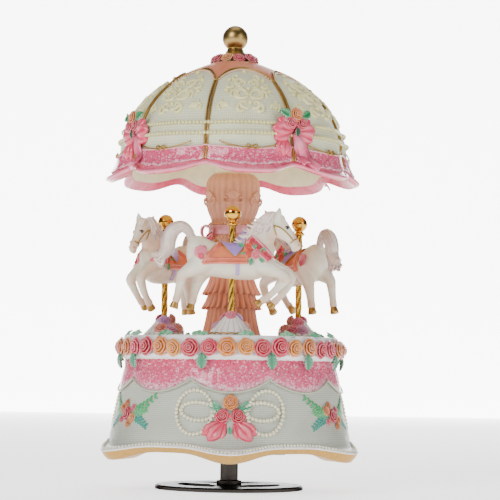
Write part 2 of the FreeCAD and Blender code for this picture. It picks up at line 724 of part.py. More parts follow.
# ---- write every node ----
def build():
    for name, make in (("foot_disc", foot_disc), ("stem_post", stem_post), ("thrust_washer", thrust_washer),
                       ("winding_arbor", winding_arbor), ("drive_gear", drive_gear),
                       ("base_shell", base_shell), ("bottom_cover", bottom_cover), ("lace_skirt", lace_skirt),
                       ("rim_roses", rim_roses), ("rim_leaves", rim_leaves), ("pearl_bows", pearl_bows),
                       ("flower_sprays", flower_sprays), ("bedplate", bedplate),
                       ("spring_barrel", spring_barrel), ("mainspring", mainspring),
                       ("barrel_bridge", barrel_bridge), ("music_cylinder", music_cylinder),
                       ("cylinder_pins", cylinder_pins), ("cylinder_arbor", cylinder_arbor),
                       ("cylinder_pinion", cylinder_pinion), ("cylinder_gear", cylinder_gear),
                       ("cylinder_bracket", cylinder_bracket), ("comb", comb), ("comb_block", comb_block),
                       ("governor_frame", governor_frame), ("governor_arbor", governor_arbor),
                       ("governor_pinion", governor_pinion), ("worm_wheel", worm_wheel),
                       ("worm_shaft", worm_shaft), ("governor_fan", governor_fan), ("column", column),
                       ("column_bow", column_bow), ("tie_rod", tie_rod), ("tie_rod_nut", tie_rod_nut),
                       ("canopy_shell", canopy_shell), ("canopy_pearls", canopy_pearls),
                       ("finial", finial), ("finial_wreath", finial_wreath)):
        save(name, make())
    save("cover_screws", screws(cover_screw_places(), boss_top - 4))
    save("movement_screws", screws(movement_screw_places(), plate_z + 2.4))
    save("bridge_screws", cap_screws(bridge_screw_places(), bridge_high, 3.5))
    save("comb_screws", cap_screws(comb_screw_places(), comb_low + 0.8, 4.2))
    for number, bow in enumerate(canopy_bows(), 1):
        save(f"canopy_bow_{number}", bow)
    for make, name in ((pole_mound, "pole_mound"), (pole, "pole"), (knob, "knob"), (horse, "horse")):
        shape = make()
        for number, angle in enumerate(pole_angles, 1):
            save(f"{name}_{number}", at_pole(shape, angle))


build()
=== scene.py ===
import math
import bmesh
import bpy
import numpy as np
from mathutils import Matrix, Quaternion, Vector
from mathutils.bvhtree import BVHTree


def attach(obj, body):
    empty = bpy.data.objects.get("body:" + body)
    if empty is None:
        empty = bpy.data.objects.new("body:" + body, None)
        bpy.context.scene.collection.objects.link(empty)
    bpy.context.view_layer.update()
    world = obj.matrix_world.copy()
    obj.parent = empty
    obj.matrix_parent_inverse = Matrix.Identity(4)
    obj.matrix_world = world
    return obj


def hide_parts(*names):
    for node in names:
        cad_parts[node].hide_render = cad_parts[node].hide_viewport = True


# Carousel music box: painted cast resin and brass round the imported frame.
# Shapes are worked out in millimetres and written to the meshes in metres. -Y is the front.
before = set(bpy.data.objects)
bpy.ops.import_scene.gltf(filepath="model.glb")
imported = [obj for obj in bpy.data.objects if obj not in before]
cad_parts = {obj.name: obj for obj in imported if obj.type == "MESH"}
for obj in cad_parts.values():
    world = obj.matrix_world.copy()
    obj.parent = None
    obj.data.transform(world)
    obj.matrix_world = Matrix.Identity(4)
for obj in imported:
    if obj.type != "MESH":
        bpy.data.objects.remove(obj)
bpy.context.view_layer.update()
metre = 0.001
paintDepth = 1.7                 # how far hexColour deepens a paint
rng = np.random.default_rng(7)
poleAngles = (-90, 30, 150)      # degrees
canopyTurn = 31                  # degrees, one canopy rib
canopyBowAngles = (31, 121, -149, -59)
rosePinks = ("#d9486e", "#e46b88", "#cf3f62")
roseOranges = ("#e3a53e", "#e9b350", "#dc9d38")


def hexColour(text):
    # sRGB hex to linear values, deepened because the view transform pales bright paint
    srgb = np.array([int(text[i:i + 2], 16) for i in (1, 3, 5)]) / 255
    linear = np.where(srgb <= 0.04045, srgb / 12.92, ((srgb + 0.055) / 1.055) ** 2.4)
    brightest = max(linear.max(), 0.001)
    return (*(brightest * (linear / brightest) ** paintDepth), 1.0)


def gridQuads(nu, nv, wrapU=False, wrapV=False):
    # quads between neighbours of a nu by nv grid of points, stored row by row
    i, j = np.meshgrid(np.arange(nu if wrapU else nu - 1), np.arange(nv if wrapV else nv - 1),
                       indexing="ij")
    i, j = i.ravel(), j.ravel()
    a, b = (i + 1) % nu, (j + 1) % nv
    return np.stack([i * nv + j, a * nv + j, a * nv + b, i * nv + b], 1)


def cappedQuads(rows, sides):
    # faces of a stack of rings, closed by one polygon at each end
    ring = np.arange(sides)[None]
    return [gridQuads(rows, sides, False, True), ring[:, ::-1], (rows - 1) * sides + ring]


def ringPoints(radius, angle, height):
    # points (r cos a, r sin a, z) for arguments that broadcast together, a in radians
    radius, angle, height = np.broadcast_arrays(radius, angle, height)
    return np.stack([radius * np.cos(angle), radius * np.sin(angle), height], -1)


def unit(vectors):
    return vectors / np.maximum(np.linalg.norm(vectors, axis=-1, keepdims=True), 1e-9)


def spinZ(angle):
    # rotation about Z by degrees
    return Matrix.Rotation(math.radians(angle), 4, "Z")


def block(verts, faces, slot=0, paint="#ffffff", depth=1.0, uv=None):
    # one lump of mesh: points, lists of faces, material number, paint colour, and a depth share kept in the
    # tone alpha, which the resin paints turn into painted shade where low and painted highlight where high
    # (on the lace it sets the glitter frost)
    verts = np.asarray(verts, float).reshape(-1, 3)
    tone = np.empty((len(verts), 4))
    tone[:, :3] = hexColour(paint)[:3] if isinstance(paint, str) else paint
    tone[:, 3] = np.asarray(depth, float).ravel() if np.ndim(depth) else depth
    uv = np.zeros((len(verts), 2)) if uv is None else np.asarray(uv, float).reshape(-1, 2)
    faces = faces if isinstance(faces, list) else [faces]
    slots = [np.full(len(f), slot) for f in faces]
    return {"v": verts, "f": faces, "m": slots, "tone": tone, "uv": uv}


def moved(part, matrix):
    # the same lump under a 4 by 4 matrix
    m = np.array(matrix)
    return {**part, "v": part["v"] @ m[:3, :3].T + m[:3, 3]}


def joinParts(parts):
    # several lumps as one, so that a template can be moved as a whole
    shift = np.cumsum([0] + [len(p["v"]) for p in parts])
    faces, slots = [], []
    for part, start in zip(parts, shift):
        faces += [f + start for f in part["f"]]
        slots += list(part["m"])
    joined = {key: np.concatenate([p[key] for p in parts]) for key in ("v", "tone", "uv")}
    return {**joined, "f": faces, "m": slots}


def makePiece(name, parts, materials, replaces=()):
    # joins lumps into one object whose place is in its mesh
    whole = joinParts(parts)
    mesh = bpy.data.meshes.new(name)
    loops = np.concatenate([faces.ravel() for faces in whole["f"]])
    totals = np.concatenate([np.full(len(faces), faces.shape[1]) for faces in whole["f"]])
    mesh.vertices.add(len(whole["v"]))
    mesh.vertices.foreach_set("co", (whole["v"] * metre).ravel())
    mesh.loops.add(len(loops))
    mesh.loops.foreach_set("vertex_index", loops.astype(np.int32))
    mesh.polygons.add(len(totals))
    mesh.polygons.foreach_set("loop_start", (np.cumsum(totals) - totals).astype(np.int32))
    mesh.polygons.foreach_set("material_index", np.concatenate(whole["m"]).astype(np.int32))
    mesh.polygons.foreach_set("use_smooth", np.ones(len(totals), bool))
    mesh.update(calc_edges=True)
    tone = mesh.attributes.new("tone", "FLOAT_COLOR", "POINT")
    tone.data.foreach_set("color", whole["tone"].ravel())
    mesh.uv_layers.new(name="UVMap").data.foreach_set("uv", whole["uv"][loops].ravel())
    for material in materials:
        mesh.materials.append(material)
    mesh.validate()
    tidyNormals(mesh)
    piece = bpy.data.objects.new(name, mesh)
    bpy.context.scene.collection.objects.link(piece)
    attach(piece, "carousel")
    if replaces:
        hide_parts(*replaces)
    return piece


def tidyNormals(mesh):
    # turns every closed lump's faces outwards
    work = bmesh.new()
    work.from_mesh(mesh)
    bmesh.ops.recalc_face_normals(work, faces=work.faces)
    work.to_mesh(mesh)
    work.free()


def slab(grid, thickness, slot=0, paint="#ffffff", depth=1.0):
    # closed sheet: a (k, nu, nv, 3) stack of grids, each given thickness along its normals
    grid = np.asarray(grid, float)
    grid = grid[None] if grid.ndim == 3 else grid
    k, nu, nv = grid.shape[:3]
    normal = unit(np.cross(np.gradient(grid, axis=1), np.gradient(grid, axis=2)))
    front, back = grid + normal * thickness / 2, grid - normal * thickness / 2
    verts = np.concatenate([front.reshape(k, -1, 3), back.reshape(k, -1, 3)], 1)
    n = nu * nv
    face = gridQuads(nu, nv)
    edge = np.concatenate([np.arange(nv), nv * np.arange(1, nu) + nv - 1,
                           nv * (nu - 1) + np.arange(nv - 2, -1, -1), nv * np.arange(nu - 2, 0, -1)])
    following = np.roll(edge, -1)
    rim = np.stack([edge, following, following + n, edge + n], 1)
    one = np.concatenate([face, face[:, ::-1] + n, rim[:, ::-1]])
    quads = (one[None] + (np.arange(k) * 2 * n)[:, None, None]).reshape(-1, 4)
    depth = np.broadcast_to(depth, (k, nu, nv)).reshape(k, -1)
    return block(verts, quads, slot, paint, np.concatenate([depth, depth], 1))


def tube(path, radius, sides=8, up=(0, 0, 1), closed=False, slot=0, paint="#ffffff", depth=1.0):
    # round bar along a path: each point's circle stands square to the path
    path = np.asarray(path, float)
    if closed:
        tangent = np.roll(path, -1, 0) - np.roll(path, 1, 0)
    else:
        tangent = np.gradient(path, axis=0)
    tangent = unit(tangent)
    side = unit(np.cross(tangent, np.broadcast_to(up, path.shape)))
    over = np.cross(side, tangent)
    angle = np.linspace(0, 2 * np.pi, sides, endpoint=False)
    radius = np.broadcast_to(radius, len(path))[:, None, None]
    ring = side[:, None] * np.cos(angle)[None, :, None] + over[:, None] * np.sin(angle)[None, :, None]
    verts = path[:, None] + ring * radius
    faces = gridQuads(len(path), sides, True, True) if closed else cappedQuads(len(path), sides)
    return block(verts, faces, slot, paint, np.repeat(np.broadcast_to(depth, len(path)), sides))


def turnedShape(profile, segments=48, slot=0, paint="#ffffff", wave=None):
    # lathe: (r, z) points carried round Z, r times wave(angle, z); small polygons close the ends
    profile = np.asarray(profile, float)
    angle = np.linspace(0, 2 * np.pi, segments, endpoint=False)
    r = np.broadcast_to(profile[:, 0][:, None], (len(profile), segments))
    if wave is not None:
        r = r * wave(angle[None], profile[:, 1][:, None])
    return block(ringPoints(r, angle, profile[:, 1][:, None]), cappedQuads(len(profile), segments), slot,
                 paint)


def smoothLine(points, count):
    # Catmull-Rom curve through points, sampled at count places evenly in parameter
    p = np.asarray(points, float)
    p = np.concatenate([2 * p[:1] - p[1:2], p, 2 * p[-1:] - p[-2:-1]])
    t = np.linspace(0, len(p) - 3, count)
    i = np.minimum(t.astype(int), len(p) - 4)
    f = (t - i)[:, None]
    a, b, c, d = p[i], p[i + 1], p[i + 2], p[i + 3]
    return 0.5 * (2 * b + (c - a) * f + (2 * a - 5 * b + 4 * c - d) * f ** 2
                  + (3 * b - a - 3 * c + d) * f ** 3)


def wallPlace(angle, radius, height, lift=0.0, spin=0.0):
    # matrix that lays a lump (its +Z outwards, +Y up) on a wall at a polar angle in degrees
    a = math.radians(angle)
    out, along = Vector((math.cos(a), math.sin(a), 0)), Vector((-math.sin(a), math.cos(a), 0))
    up = Vector((0, 0, 1))
    base = Matrix((along, up, out)).transposed().to_4x4()
    tilt = Matrix.Rotation(math.radians(-lift), 4, "X") @ spinZ(spin)
    return Matrix.Translation(out * radius + up * height) @ base @ tilt


def bead(rings, sides):
    # low-count ball of radius 1 for strings of pearls
    lat = np.linspace(-np.pi / 2, np.pi / 2, rings + 2)[1:-1, None]
    lon = np.linspace(0, 2 * np.pi, sides, endpoint=False)
    ring = ringPoints(np.cos(lat), lon, np.sin(lat)).reshape(-1, 3)
    verts = np.concatenate([ring, [[0, 0, -1], [0, 0, 1]]])
    low, high = len(ring), len(ring) + 1
    first = np.arange(sides)
    cap = np.stack([np.full(sides, low), (first + 1) % sides, first], 1)
    top = (rings - 1) * sides
    lid = np.stack([np.full(sides, high), top + first, top + (first + 1) % sides], 1)
    return verts, [gridQuads(rings, sides, False, True), np.concatenate([cap, lid])]


def beads(centres, radius, paint, slot=0, rings=5, sides=8):
    # one bead at each centre, as one lump
    centres = np.asarray(centres, float).reshape(-1, 3)
    verts, faces = bead(rings, sides)
    size = np.broadcast_to(radius, len(centres))[:, None, None]
    allVerts = centres[:, None] + verts[None] * size
    shift = (np.arange(len(centres)) * len(verts))[:, None, None]
    allFaces = [(f[None] + shift).reshape(-1, f.shape[1]) for f in faces]
    light = np.tile(0.55 + 0.45 * verts[:, 2], len(centres))
    return block(allVerts, allFaces, slot, paint, light)


def rose(radius, paint, seed=0):
    # clay rose, +Z outwards: rings of cupped petals; each widens from its foot and curls at its lip.
    # Each row of rings is petals, foot radius, lip radius, foot height, lip height, for a rose of radius 1
    pick = np.random.default_rng(seed)
    rings = ((3, 0.10, 0.26, 0.62, 0.80), (4, 0.22, 0.50, 0.52, 0.72), (5, 0.36, 0.78, 0.36, 0.55),
             (6, 0.50, 1.0, 0.14, 0.34))
    parts = []
    u = np.linspace(-1, 1, 7)[:, None]
    v = np.linspace(0, 1, 6)[None]
    for count, foot, lip, low, high in rings:
        angles = 2 * np.pi * np.arange(count) / count + pick.uniform(0, 6.28)
        width = 1.25 * np.pi / count * (0.75 + 0.35 * v) * u
        edge = 1 - 0.16 * u ** 4
        r = (foot + (lip - foot) * v ** 0.9) * (1 + 0.08 * u) * edge
        z = low * 0.2 + (high - low * 0.2) * (1 - (1 - v) ** 1.6) * (1 - 0.22 * u ** 4)
        z = z - 0.20 * lip * np.clip(v - 0.72, 0, 1) * 2.2
        grids = ringPoints(r, angles[:, None, None] + width, z)
        # tone alpha low at each petal's foot and high at its lip: painted shade in the rose's heart, painted
        # highlight on the petal lips
        petalShadeHighlight = np.broadcast_to(0.25 + 0.75 * v ** 1.5, (count, 7, 6))
        parts.append(slab(grids * radius, 0.09 * radius, 0, paint, petalShadeHighlight))
    bud = turnedShape([(0.02, 0), (0.5, 0.02), (0.42, 0.3), (0.2, 0.62), (0.12, 0.78), (0.02, 0.82)], 10, 0,
                      paint)
    bud["v"] *= radius
    bud["tone"][:, 3] = 0.45
    return joinParts(parts + [bud])


def leafShape(length, width, paint="#4fa27a", cup=0.35, bend=0.25, teeth=5, slot=0):
    # leaf along +Y with its face to +Z: folded along the midrib, toothed edge, tip bent back
    u = np.linspace(-1, 1, 7)[:, None]
    v = np.linspace(0, 1, 13)[None]
    outline = np.sin(np.pi * v ** 0.75) ** 0.8 * (1 + 0.16 * np.sin(2 * np.pi * teeth * v)) + 0.02
    veins = np.cos(2 * np.pi * (teeth * v - 1.2 * np.abs(u)))
    x = u * outline * width / 2
    y = v * length + np.abs(u) * outline * 0.12 * length
    z = cup * np.abs(x) - bend * length * v ** 2 * 0.6 + 0.10 * width
    z = z + 0.05 * width * veins * (1 - np.abs(u))
    # tone alpha: painted shade in the midrib fold, painted highlight towards the raised edges, lighter and
    # darker along the vein ridges
    depth = 0.35 + 0.5 * np.abs(u) + 0.2 * veins
    return slab(np.stack([x, y, z], 2), 0.14 * width, slot, paint, np.clip(depth, 0, 1)[None])


roseSet = {paint: [rose(1.0, paint, seed) for seed in range(3)] for paint in rosePinks + roseOranges}


def roseAt(matrix, radius, paint, seed=0):
    # one of the stored roses, sized and placed
    return moved(roseSet[paint][seed % 3], Matrix(matrix) @ Matrix.Scale(radius, 4))


def addNode(tree, kind, inputs=None, **settings):
    # a node with its settings, and its inputs set or linked
    made = tree.nodes.new(kind)
    for key, value in settings.items():
        setattr(made, key, value)
    for key, value in (inputs or {}).items():
        if isinstance(value, bpy.types.NodeSocket):
            tree.links.new(value, made.inputs[key])
        else:
            made.inputs[key].default_value = value
    return made


def newMaterial(name, **constants):
    # a Principled material; constants are set on the shader's own sockets
    material = bpy.data.materials.new(name)
    material.use_nodes = True
    tree = material.node_tree
    shader = tree.nodes["Principled BSDF"]
    for key, value in constants.items():
        shader.inputs[key.replace("_", " ")].default_value = value
    return material, tree, shader


def rampNode(tree, fac, stops):
    # colour ramp through (place, colour) stops; a colour is hex text or one grey value
    ramp = addNode(tree, "ShaderNodeValToRGB", {"Fac": fac})
    while len(ramp.color_ramp.elements) < len(stops):
        ramp.color_ramp.elements.new(0.5)
    for element, (place, colour) in zip(ramp.color_ramp.elements, stops):
        element.position = place
        element.color = hexColour(colour) if isinstance(colour, str) else (colour, colour, colour, 1)
    return ramp.outputs["Color"]


def mixNode(tree, share, low, high, blend="MIX"):
    return addNode(tree, "ShaderNodeMixRGB", {"Fac": share, "Color1": low, "Color2": high},
                   blend_type=blend).outputs[0]


def mathNode(tree, operation, first, second, clamp=False):
    return addNode(tree, "ShaderNodeMath", {0: first, 1: second}, operation=operation,
                   use_clamp=clamp).outputs[0]


def noiseNode(tree, where, scale, detail, distortion=0.0):
    return addNode(tree, "ShaderNodeTexNoise", {"Vector": where, "Scale": scale, "Detail": detail,
                                                "Distortion": distortion}).outputs["Fac"]


def toneInputs(tree):
    # object coordinates in metres, and the mesh's own paint colour and its tone alpha: the share of painted
    # shade and painted highlight (glitter frost on the lace)
    where = addNode(tree, "ShaderNodeTexCoord").outputs["Object"]
    tone = addNode(tree, "ShaderNodeAttribute", attribute_name="tone")
    return where, tone.outputs["Color"], tone.outputs["Alpha"]


def dressShader(tree, shader, colour, roughSource, roughLow, roughHigh, height, strength, bumpMm):
    # links the colour, a roughness between two values and a bump of so many millimetres
    rough = addNode(tree, "ShaderNodeMapRange",
                    {"Value": roughSource, "To Min": roughLow, "To Max": roughHigh})
    bump = addNode(tree, "ShaderNodeBump", {"Height": height, "Strength": strength,
                                            "Distance": bumpMm * metre})
    tree.links.new(colour, shader.inputs["Base Color"])
    tree.links.new(rough.outputs[0], shader.inputs["Roughness"])
    tree.links.new(bump.outputs[0], shader.inputs["Normal"])


def paintedResin(name, recessShade=0.55, ridgeHighlight=0.35, coat=0.35, roughness=0.38, highlightColour="#ffffff"):
    # hand-painted cast resin: brush mottling, painted shade that darkens the paint where the tone alpha is
    # low, a painted highlight towards a pale colour where it is high, and a thin clear lacquer that gives
    # soft highlights
    material, tree, shader = newMaterial(name, Coat_Weight=coat, Coat_Roughness=0.22, IOR=1.5)
    where, tone, depth = toneInputs(tree)
    mottle = noiseNode(tree, where, 260.0, 4.0)
    fine = noiseNode(tree, where, 1000 / 0.35, 2.0)
    # painted shade where the tone alpha is low, then a painted highlight towards the pale colour where it is
    # high
    dark = mixNode(tree, 1.0, tone, rampNode(tree, depth, [(0.0, recessShade), (0.6, 1.0)]), "MULTIPLY")
    edge = mathNode(tree, "MULTIPLY", rampNode(tree, depth, [(0.72, 0.0), (1.0, ridgeHighlight)]), mottle)
    light = mixNode(tree, edge, dark, hexColour(highlightColour))
    vary = mixNode(tree, 1.0, light, rampNode(tree, mottle, [(0.3, 0.86), (0.7, 1.0)]), "MULTIPLY")
    dressShader(tree, shader, vary, mottle, roughness - 0.08, roughness + 0.12, fine, 0.5, 0.06)
    return material


def metalPaint(name, colour, roughness, noiseMm, bumpMm, darkShare=0.6, **constants):
    # metal or metallic paint: base colour broken by fine noise, tiny dents in the surface
    material, tree, shader = newMaterial(name, **{"Metallic": 1.0, "Coat_Weight": 0.0, **constants})
    noise = noiseNode(tree, toneInputs(tree)[0], 1000 / noiseMm, 3.0)
    base = np.array(hexColour(colour))
    dark = tuple(base[:3] * darkShare) + (1.0,)
    mix = mixNode(tree, noise, dark, tuple(base))
    dressShader(tree, shader, mix, noise, roughness * 0.7, roughness * 1.3, noise, 0.6, bumpMm)
    return material


def glitterLacquer(name):
    # glass glitter laid in pink lacquer over a lace relief: scattered little cells painted near white as
    # painted glints, white frost where the tone alpha says so
    material, tree, shader = newMaterial(name, Coat_Weight=0.6, Coat_Roughness=0.12, IOR=1.5)
    where, tone, frostShare = toneInputs(tree)
    cells = addNode(tree, "ShaderNodeTexVoronoi", {"Vector": where, "Scale": 1000 / 0.55})
    worms = noiseNode(tree, where, 1000 / 1.1, 4.0, 0.8)
    grey = addNode(tree, "ShaderNodeSeparateColor", {"Color": cells.outputs["Color"]})
    body = rampNode(tree, worms, [(0.36, "#c65479"), (0.5, "#dd6e93"), (0.62, "#f0a0b8")])
    tinted = mixNode(tree, 0.6, body, tone)
    # painted glints: random cells lightened in the base colour
    paintedGlints = rampNode(tree, grey.outputs[0], [(0.84, 0.0), (0.94, 0.7)])
    frosty = mathNode(tree, "MULTIPLY", frostShare, worms)
    both = mathNode(tree, "ADD", paintedGlints, rampNode(tree, frosty, [(0.34, 0.0), (0.62, 0.85)]), True)
    colour = mixNode(tree, mathNode(tree, "MULTIPLY", both, 0.8), tinted, hexColour("#fff2f5"))
    height = mathNode(tree, "ADD", cells.outputs["Distance"], worms)
    dressShader(tree, shader, colour, grey.outputs[1], 0.12, 0.6, height, 0.9, 0.35)
    return material


def wovenResin(name, threadMm, colourLow, colourHigh, bumpMm, coat=0.15):
    # resin cast from a cloth-faced mould: fine crossing ribs in UV millimetres, pearl-white lacquer
    material, tree, shader = newMaterial(name, Coat_Weight=coat, Coat_Roughness=0.3, IOR=1.5)
    uv = addNode(tree, "ShaderNodeUVMap", uv_map="UVMap").outputs["UV"]
    where, tone = toneInputs(tree)[:2]
    ribs = [addNode(tree, "ShaderNodeTexWave", {"Vector": uv, "Scale": 0.314 / (threadMm * step),
                                                "Distortion": bend}, bands_direction=way).outputs["Fac"]
            for way, step, bend in (("X", 1.0, 0.6), ("Y", 1.3, 1.2))]
    net = mathNode(tree, "MULTIPLY", *ribs)
    mottle = noiseNode(tree, where, 120.0, 5.0)
    colour = mixNode(tree, 1.0, rampNode(tree, net, [(0.1, colourLow), (0.75, colourHigh)]), tone, "MULTIPLY")
    vary = mixNode(tree, 1.0, colour, rampNode(tree, mottle, [(0.35, 0.93), (0.65, 1.0)]), "MULTIPLY")
    dressShader(tree, shader, vary, mottle, 0.38, 0.58, net, 0.8, bumpMm)
    return material


# paints of the moulded resin
petalPaint = paintedResin("petalPaintedResin", 0.42, 0.8, 0.6, 0.3, "#ffe9ea")
leafPaint = paintedResin("leafPaintedResin", 0.4, 1.2, 0.5, 0.34, "#e6f4ea")
pearlPaint = paintedResin("pearlLacqueredBeads", 0.78, 0.5, 0.7, 0.28, "#fffef4")
whiteResin = paintedResin("whiteMouldedResin", 0.72, 0.4, 0.2, 0.45)
peachSatin = paintedResin("peachSatinPaintedResin", 0.45, 0.25, 0.1, 0.5, "#fdebdd")
pinkSatin = paintedResin("pinkSatinPaint", 0.6, 0.1, 0.6, 0.26, "#ffdfe6")
creamResin = paintedResin("creamResinUnderside", 0.8, 0.2, 0.1, 0.5)
ivoryPaint = paintedResin("ivoryPaintedRelief", 0.75, 0.5, 0.25, 0.4, "#fffdf0")
ribbonPaint = paintedResin("pinkRibbonEnamel", 0.4, 0.7, 0.8, 0.22, "#ffe6ec")
flutedWhite = paintedResin("flutedResinGrooveShade", 0.25, 0.4, 0.3, 0.4)
horsePaint = paintedResin("pearlWhiteHorseResin", 0.4, 0.3, 0.35, 0.36, "#fffaf4")
tackPaint = paintedResin("tackEnamel", 0.5, 0.3, 0.5, 0.32, "#fff0e6")
eyeEnamel = paintedResin("glossyEyeEnamel", 0.9, 0.0, 1.0, 0.12)
pinkGlitter = glitterLacquer("pinkGlitterLacquer")
whiteCloth = wovenResin("whiteClothTexturedResin", 0.62, "#b9bcb3", "#d3d6cd", 0.07)
canopyNet = wovenResin("ivoryNetTexturedResin", 0.85, "#dadac4", "#f3f4e4", 0.10, 0.05)

# gold paints and brass of the outside
goldPaint = metalPaint("brushedGoldPaint", "#c6ab79", 0.38, 1.6, 0.10, 0.6)
satinGold = metalPaint("satinGoldPaintedBall", "#b3a078", 0.34, 2.6, 0.05, 0.8)
twistedBrass = metalPaint("twistedBrassRod", "#cfb267", 0.22, 1.2, 0.03, 0.7)
polishedGold = metalPaint("polishedGoldKnob", "#e2c071", 0.12, 3.0, 0.03, 0.85)

# what the CAD nodes that still show are made of
shownNodes = (
    (("foot_disc", "stem_post"),
     metalPaint("polishedDarkSteel", "#4a4745", 0.3, 5.0, 0.02, 0.7, Specular_Tint=(0.25, 0.25, 0.26, 1))),
    (("winding_arbor", "tie_rod", "tie_rod_nut", "cylinder_arbor", "governor_arbor", "comb", "mainspring",
      "worm_shaft", "cylinder_pins", "cover_screws", "movement_screws", "bridge_screws", "comb_screws"),
     metalPaint("groundBrightSteel", "#b9babd", 0.24, 0.8, 0.01, 0.8)),
    (("drive_gear", "music_cylinder", "cylinder_pinion", "cylinder_gear", "governor_pinion", "worm_wheel",
      "spring_barrel", "governor_fan"), metalPaint("cutBrass", "#cdb169", 0.26, 1.0, 0.02, 0.8)),
    (("bedplate", "barrel_bridge", "cylinder_bracket", "comb_block", "governor_frame"),
     metalPaint("castZinc", "#a3a5a6", 0.42, 0.6, 0.05, 0.75)),
    (("thrust_washer",), paintedResin("mouldedNylon", 0.9, 0.0, 0.0)),
    (("bottom_cover",), metalPaint("mouldedBlackPlastic", "#2b2b2d", 0.5, 0.5, 0.04, Metallic=0.0)))
print("materials ready")


base = {"steps": 360, "edge": 16.2, "arch": 3.8, "rimRadius": 44.8, "platform": 63.0}


def cornerShare(angle):
    # 1 on each foot corner, 0 between them; angle in degrees
    return (0.5 - 0.5 * np.cos(6 * np.radians(angle))) ** 2


def wallRadius(z):
    # outer radius of the base wall between its lip and its neck
    share = (z - 24.0) / 26.0
    return 49.4 - 6.2 * share - 0.6 * np.sin(np.pi * np.clip(share, 0, 1)) * (1 - 2 * share)


def baseSection(k):
    # closed outline at corner share k as (r, z) arrays, with the material number of the stretch that follows
    edge = base["edge"] - base["arch"] * k
    one = np.ones_like(k)
    rows = [(46.2 * one, edge + 0.6, 1), (49.2 + 5.3 * k, edge + 0.05, 1), (50.0 + 5.5 * k, edge + 0.15, 1),
            (50.7 + 6.3 * k, edge + 1.1 + 0.5 * k, 1), (51.2 + 7.0 * k, edge + 2.1 + 1.4 * k, 2),
            (51.3 + 7.2 * k, edge + 2.5 + 1.4 * k, 2), (51.0 + 6.4 * k, edge + 2.9 + 1.4 * k, 2),
            (50.3 + 5.4 * k, edge + 3.1 + 1.6 * k, 2), (50.1 + 4.0 * k, edge + 3.6 + 2.0 * k, 0),
            (50.0 + 2.6 * k, edge + 4.9 + 2.2 * k, 0), (49.8 + 1.2 * k, 22.6 + 0.4 * k, 0)]
    for z in np.linspace(24.5, 50, 12):
        rows.append((wallRadius(z) * one + 0.5 * k * np.clip((30 - z) / 6, 0, 1), z * one, 0))
    rows += [(43.2 * one, 52.6 * one, 2), (44.2 * one, 53.4 * one, 2), (45.2 * one, 54.1 * one, 2),
             (45.7 * one, 54.6 * one, 2), (45.75 * one, 55.1 * one, 2), (45.5 * one, 55.6 * one, 2),
             (44.9 * one, 56.6 * one, 2), (44.8 * one, 60.0 * one, 2), (44.8 * one, 62.0 * one, 2),
             (44.5 * one, 62.7 * one, 2), (43.9 * one, 63.0 * one, 2), (30 * one, 63.0 * one, 2),
             (1.7 * one, 63.0 * one, 2), (1.7 * one, 59.0 * one, 2), (39.4 * one, 59.0 * one, 2),
             (39.8 * one, 50 * one, 2), (43.0 * one, 24 * one, 2), (43.0 * one, 19 * one, 2),
             (45.2 * one, 19 * one, 2), (45.2 * one, edge + 1.2, 2)]
    return rows


def makeBase():
    # section rows carried round Z; gold on the tucked-in lower edge, cloth texture on the wall
    angle = np.linspace(0, 360, base["steps"], endpoint=False)
    rows = baseSection(cornerShare(angle))
    r, z = np.array([row[0] for row in rows]), np.array([row[1] for row in rows])
    a = np.radians(angle)
    verts = np.stack([r * np.cos(a), r * np.sin(a), z], 2)
    quads = gridQuads(len(rows), len(angle), True, True)
    slots = np.repeat([row[2] for row in rows], len(angle))
    uv = np.stack([np.broadcast_to(a * 49, r.shape), z], 2)
    shell = block(verts, quads, 0, "#ffffff", 0.7, uv)
    shell["m"] = [slots]
    parts = [shell]
    for angle in (60, 180, 300):
        boss = turnedShape([(1.2, 19.02), (3.2, 19.02), (3.2, 31), (1.2, 31)], 16, 2)
        parts.append(moved(boss, Matrix.Translation(spinZ(angle) @ Vector((40, 0, 0)))))
    makePiece("baseShell", parts, [whiteCloth, goldPaint, whiteResin], replaces=("base_shell",))


def makeBasePearls():
    # string of moulded pearls that follows the lower edge, just over the gold
    fine = np.linspace(0, 360, 4001)
    kf = cornerShare(fine)
    rf, zf = 50.5 + 6.7 * kf, base["edge"] + 3.5 - 2.7 * kf
    xyz = np.stack([rf * np.cos(np.radians(fine)), rf * np.sin(np.radians(fine)), zf], 1)
    length = np.concatenate([[0], np.cumsum(np.linalg.norm(np.diff(xyz, axis=0), axis=1))])
    spots = np.linspace(0, length[-1], 236, endpoint=False)
    centres = np.stack([np.interp(spots, length, xyz[:, i]) for i in range(3)], 1)
    makePiece("basePearlString", [beads(centres, 0.66, "#f3f1e2", rings=4, sides=8)], [pearlPaint])


lace = {"swag": 40, "low": 40.3, "rise": 5.2, "top": 53.6, "thickness": 0.55}


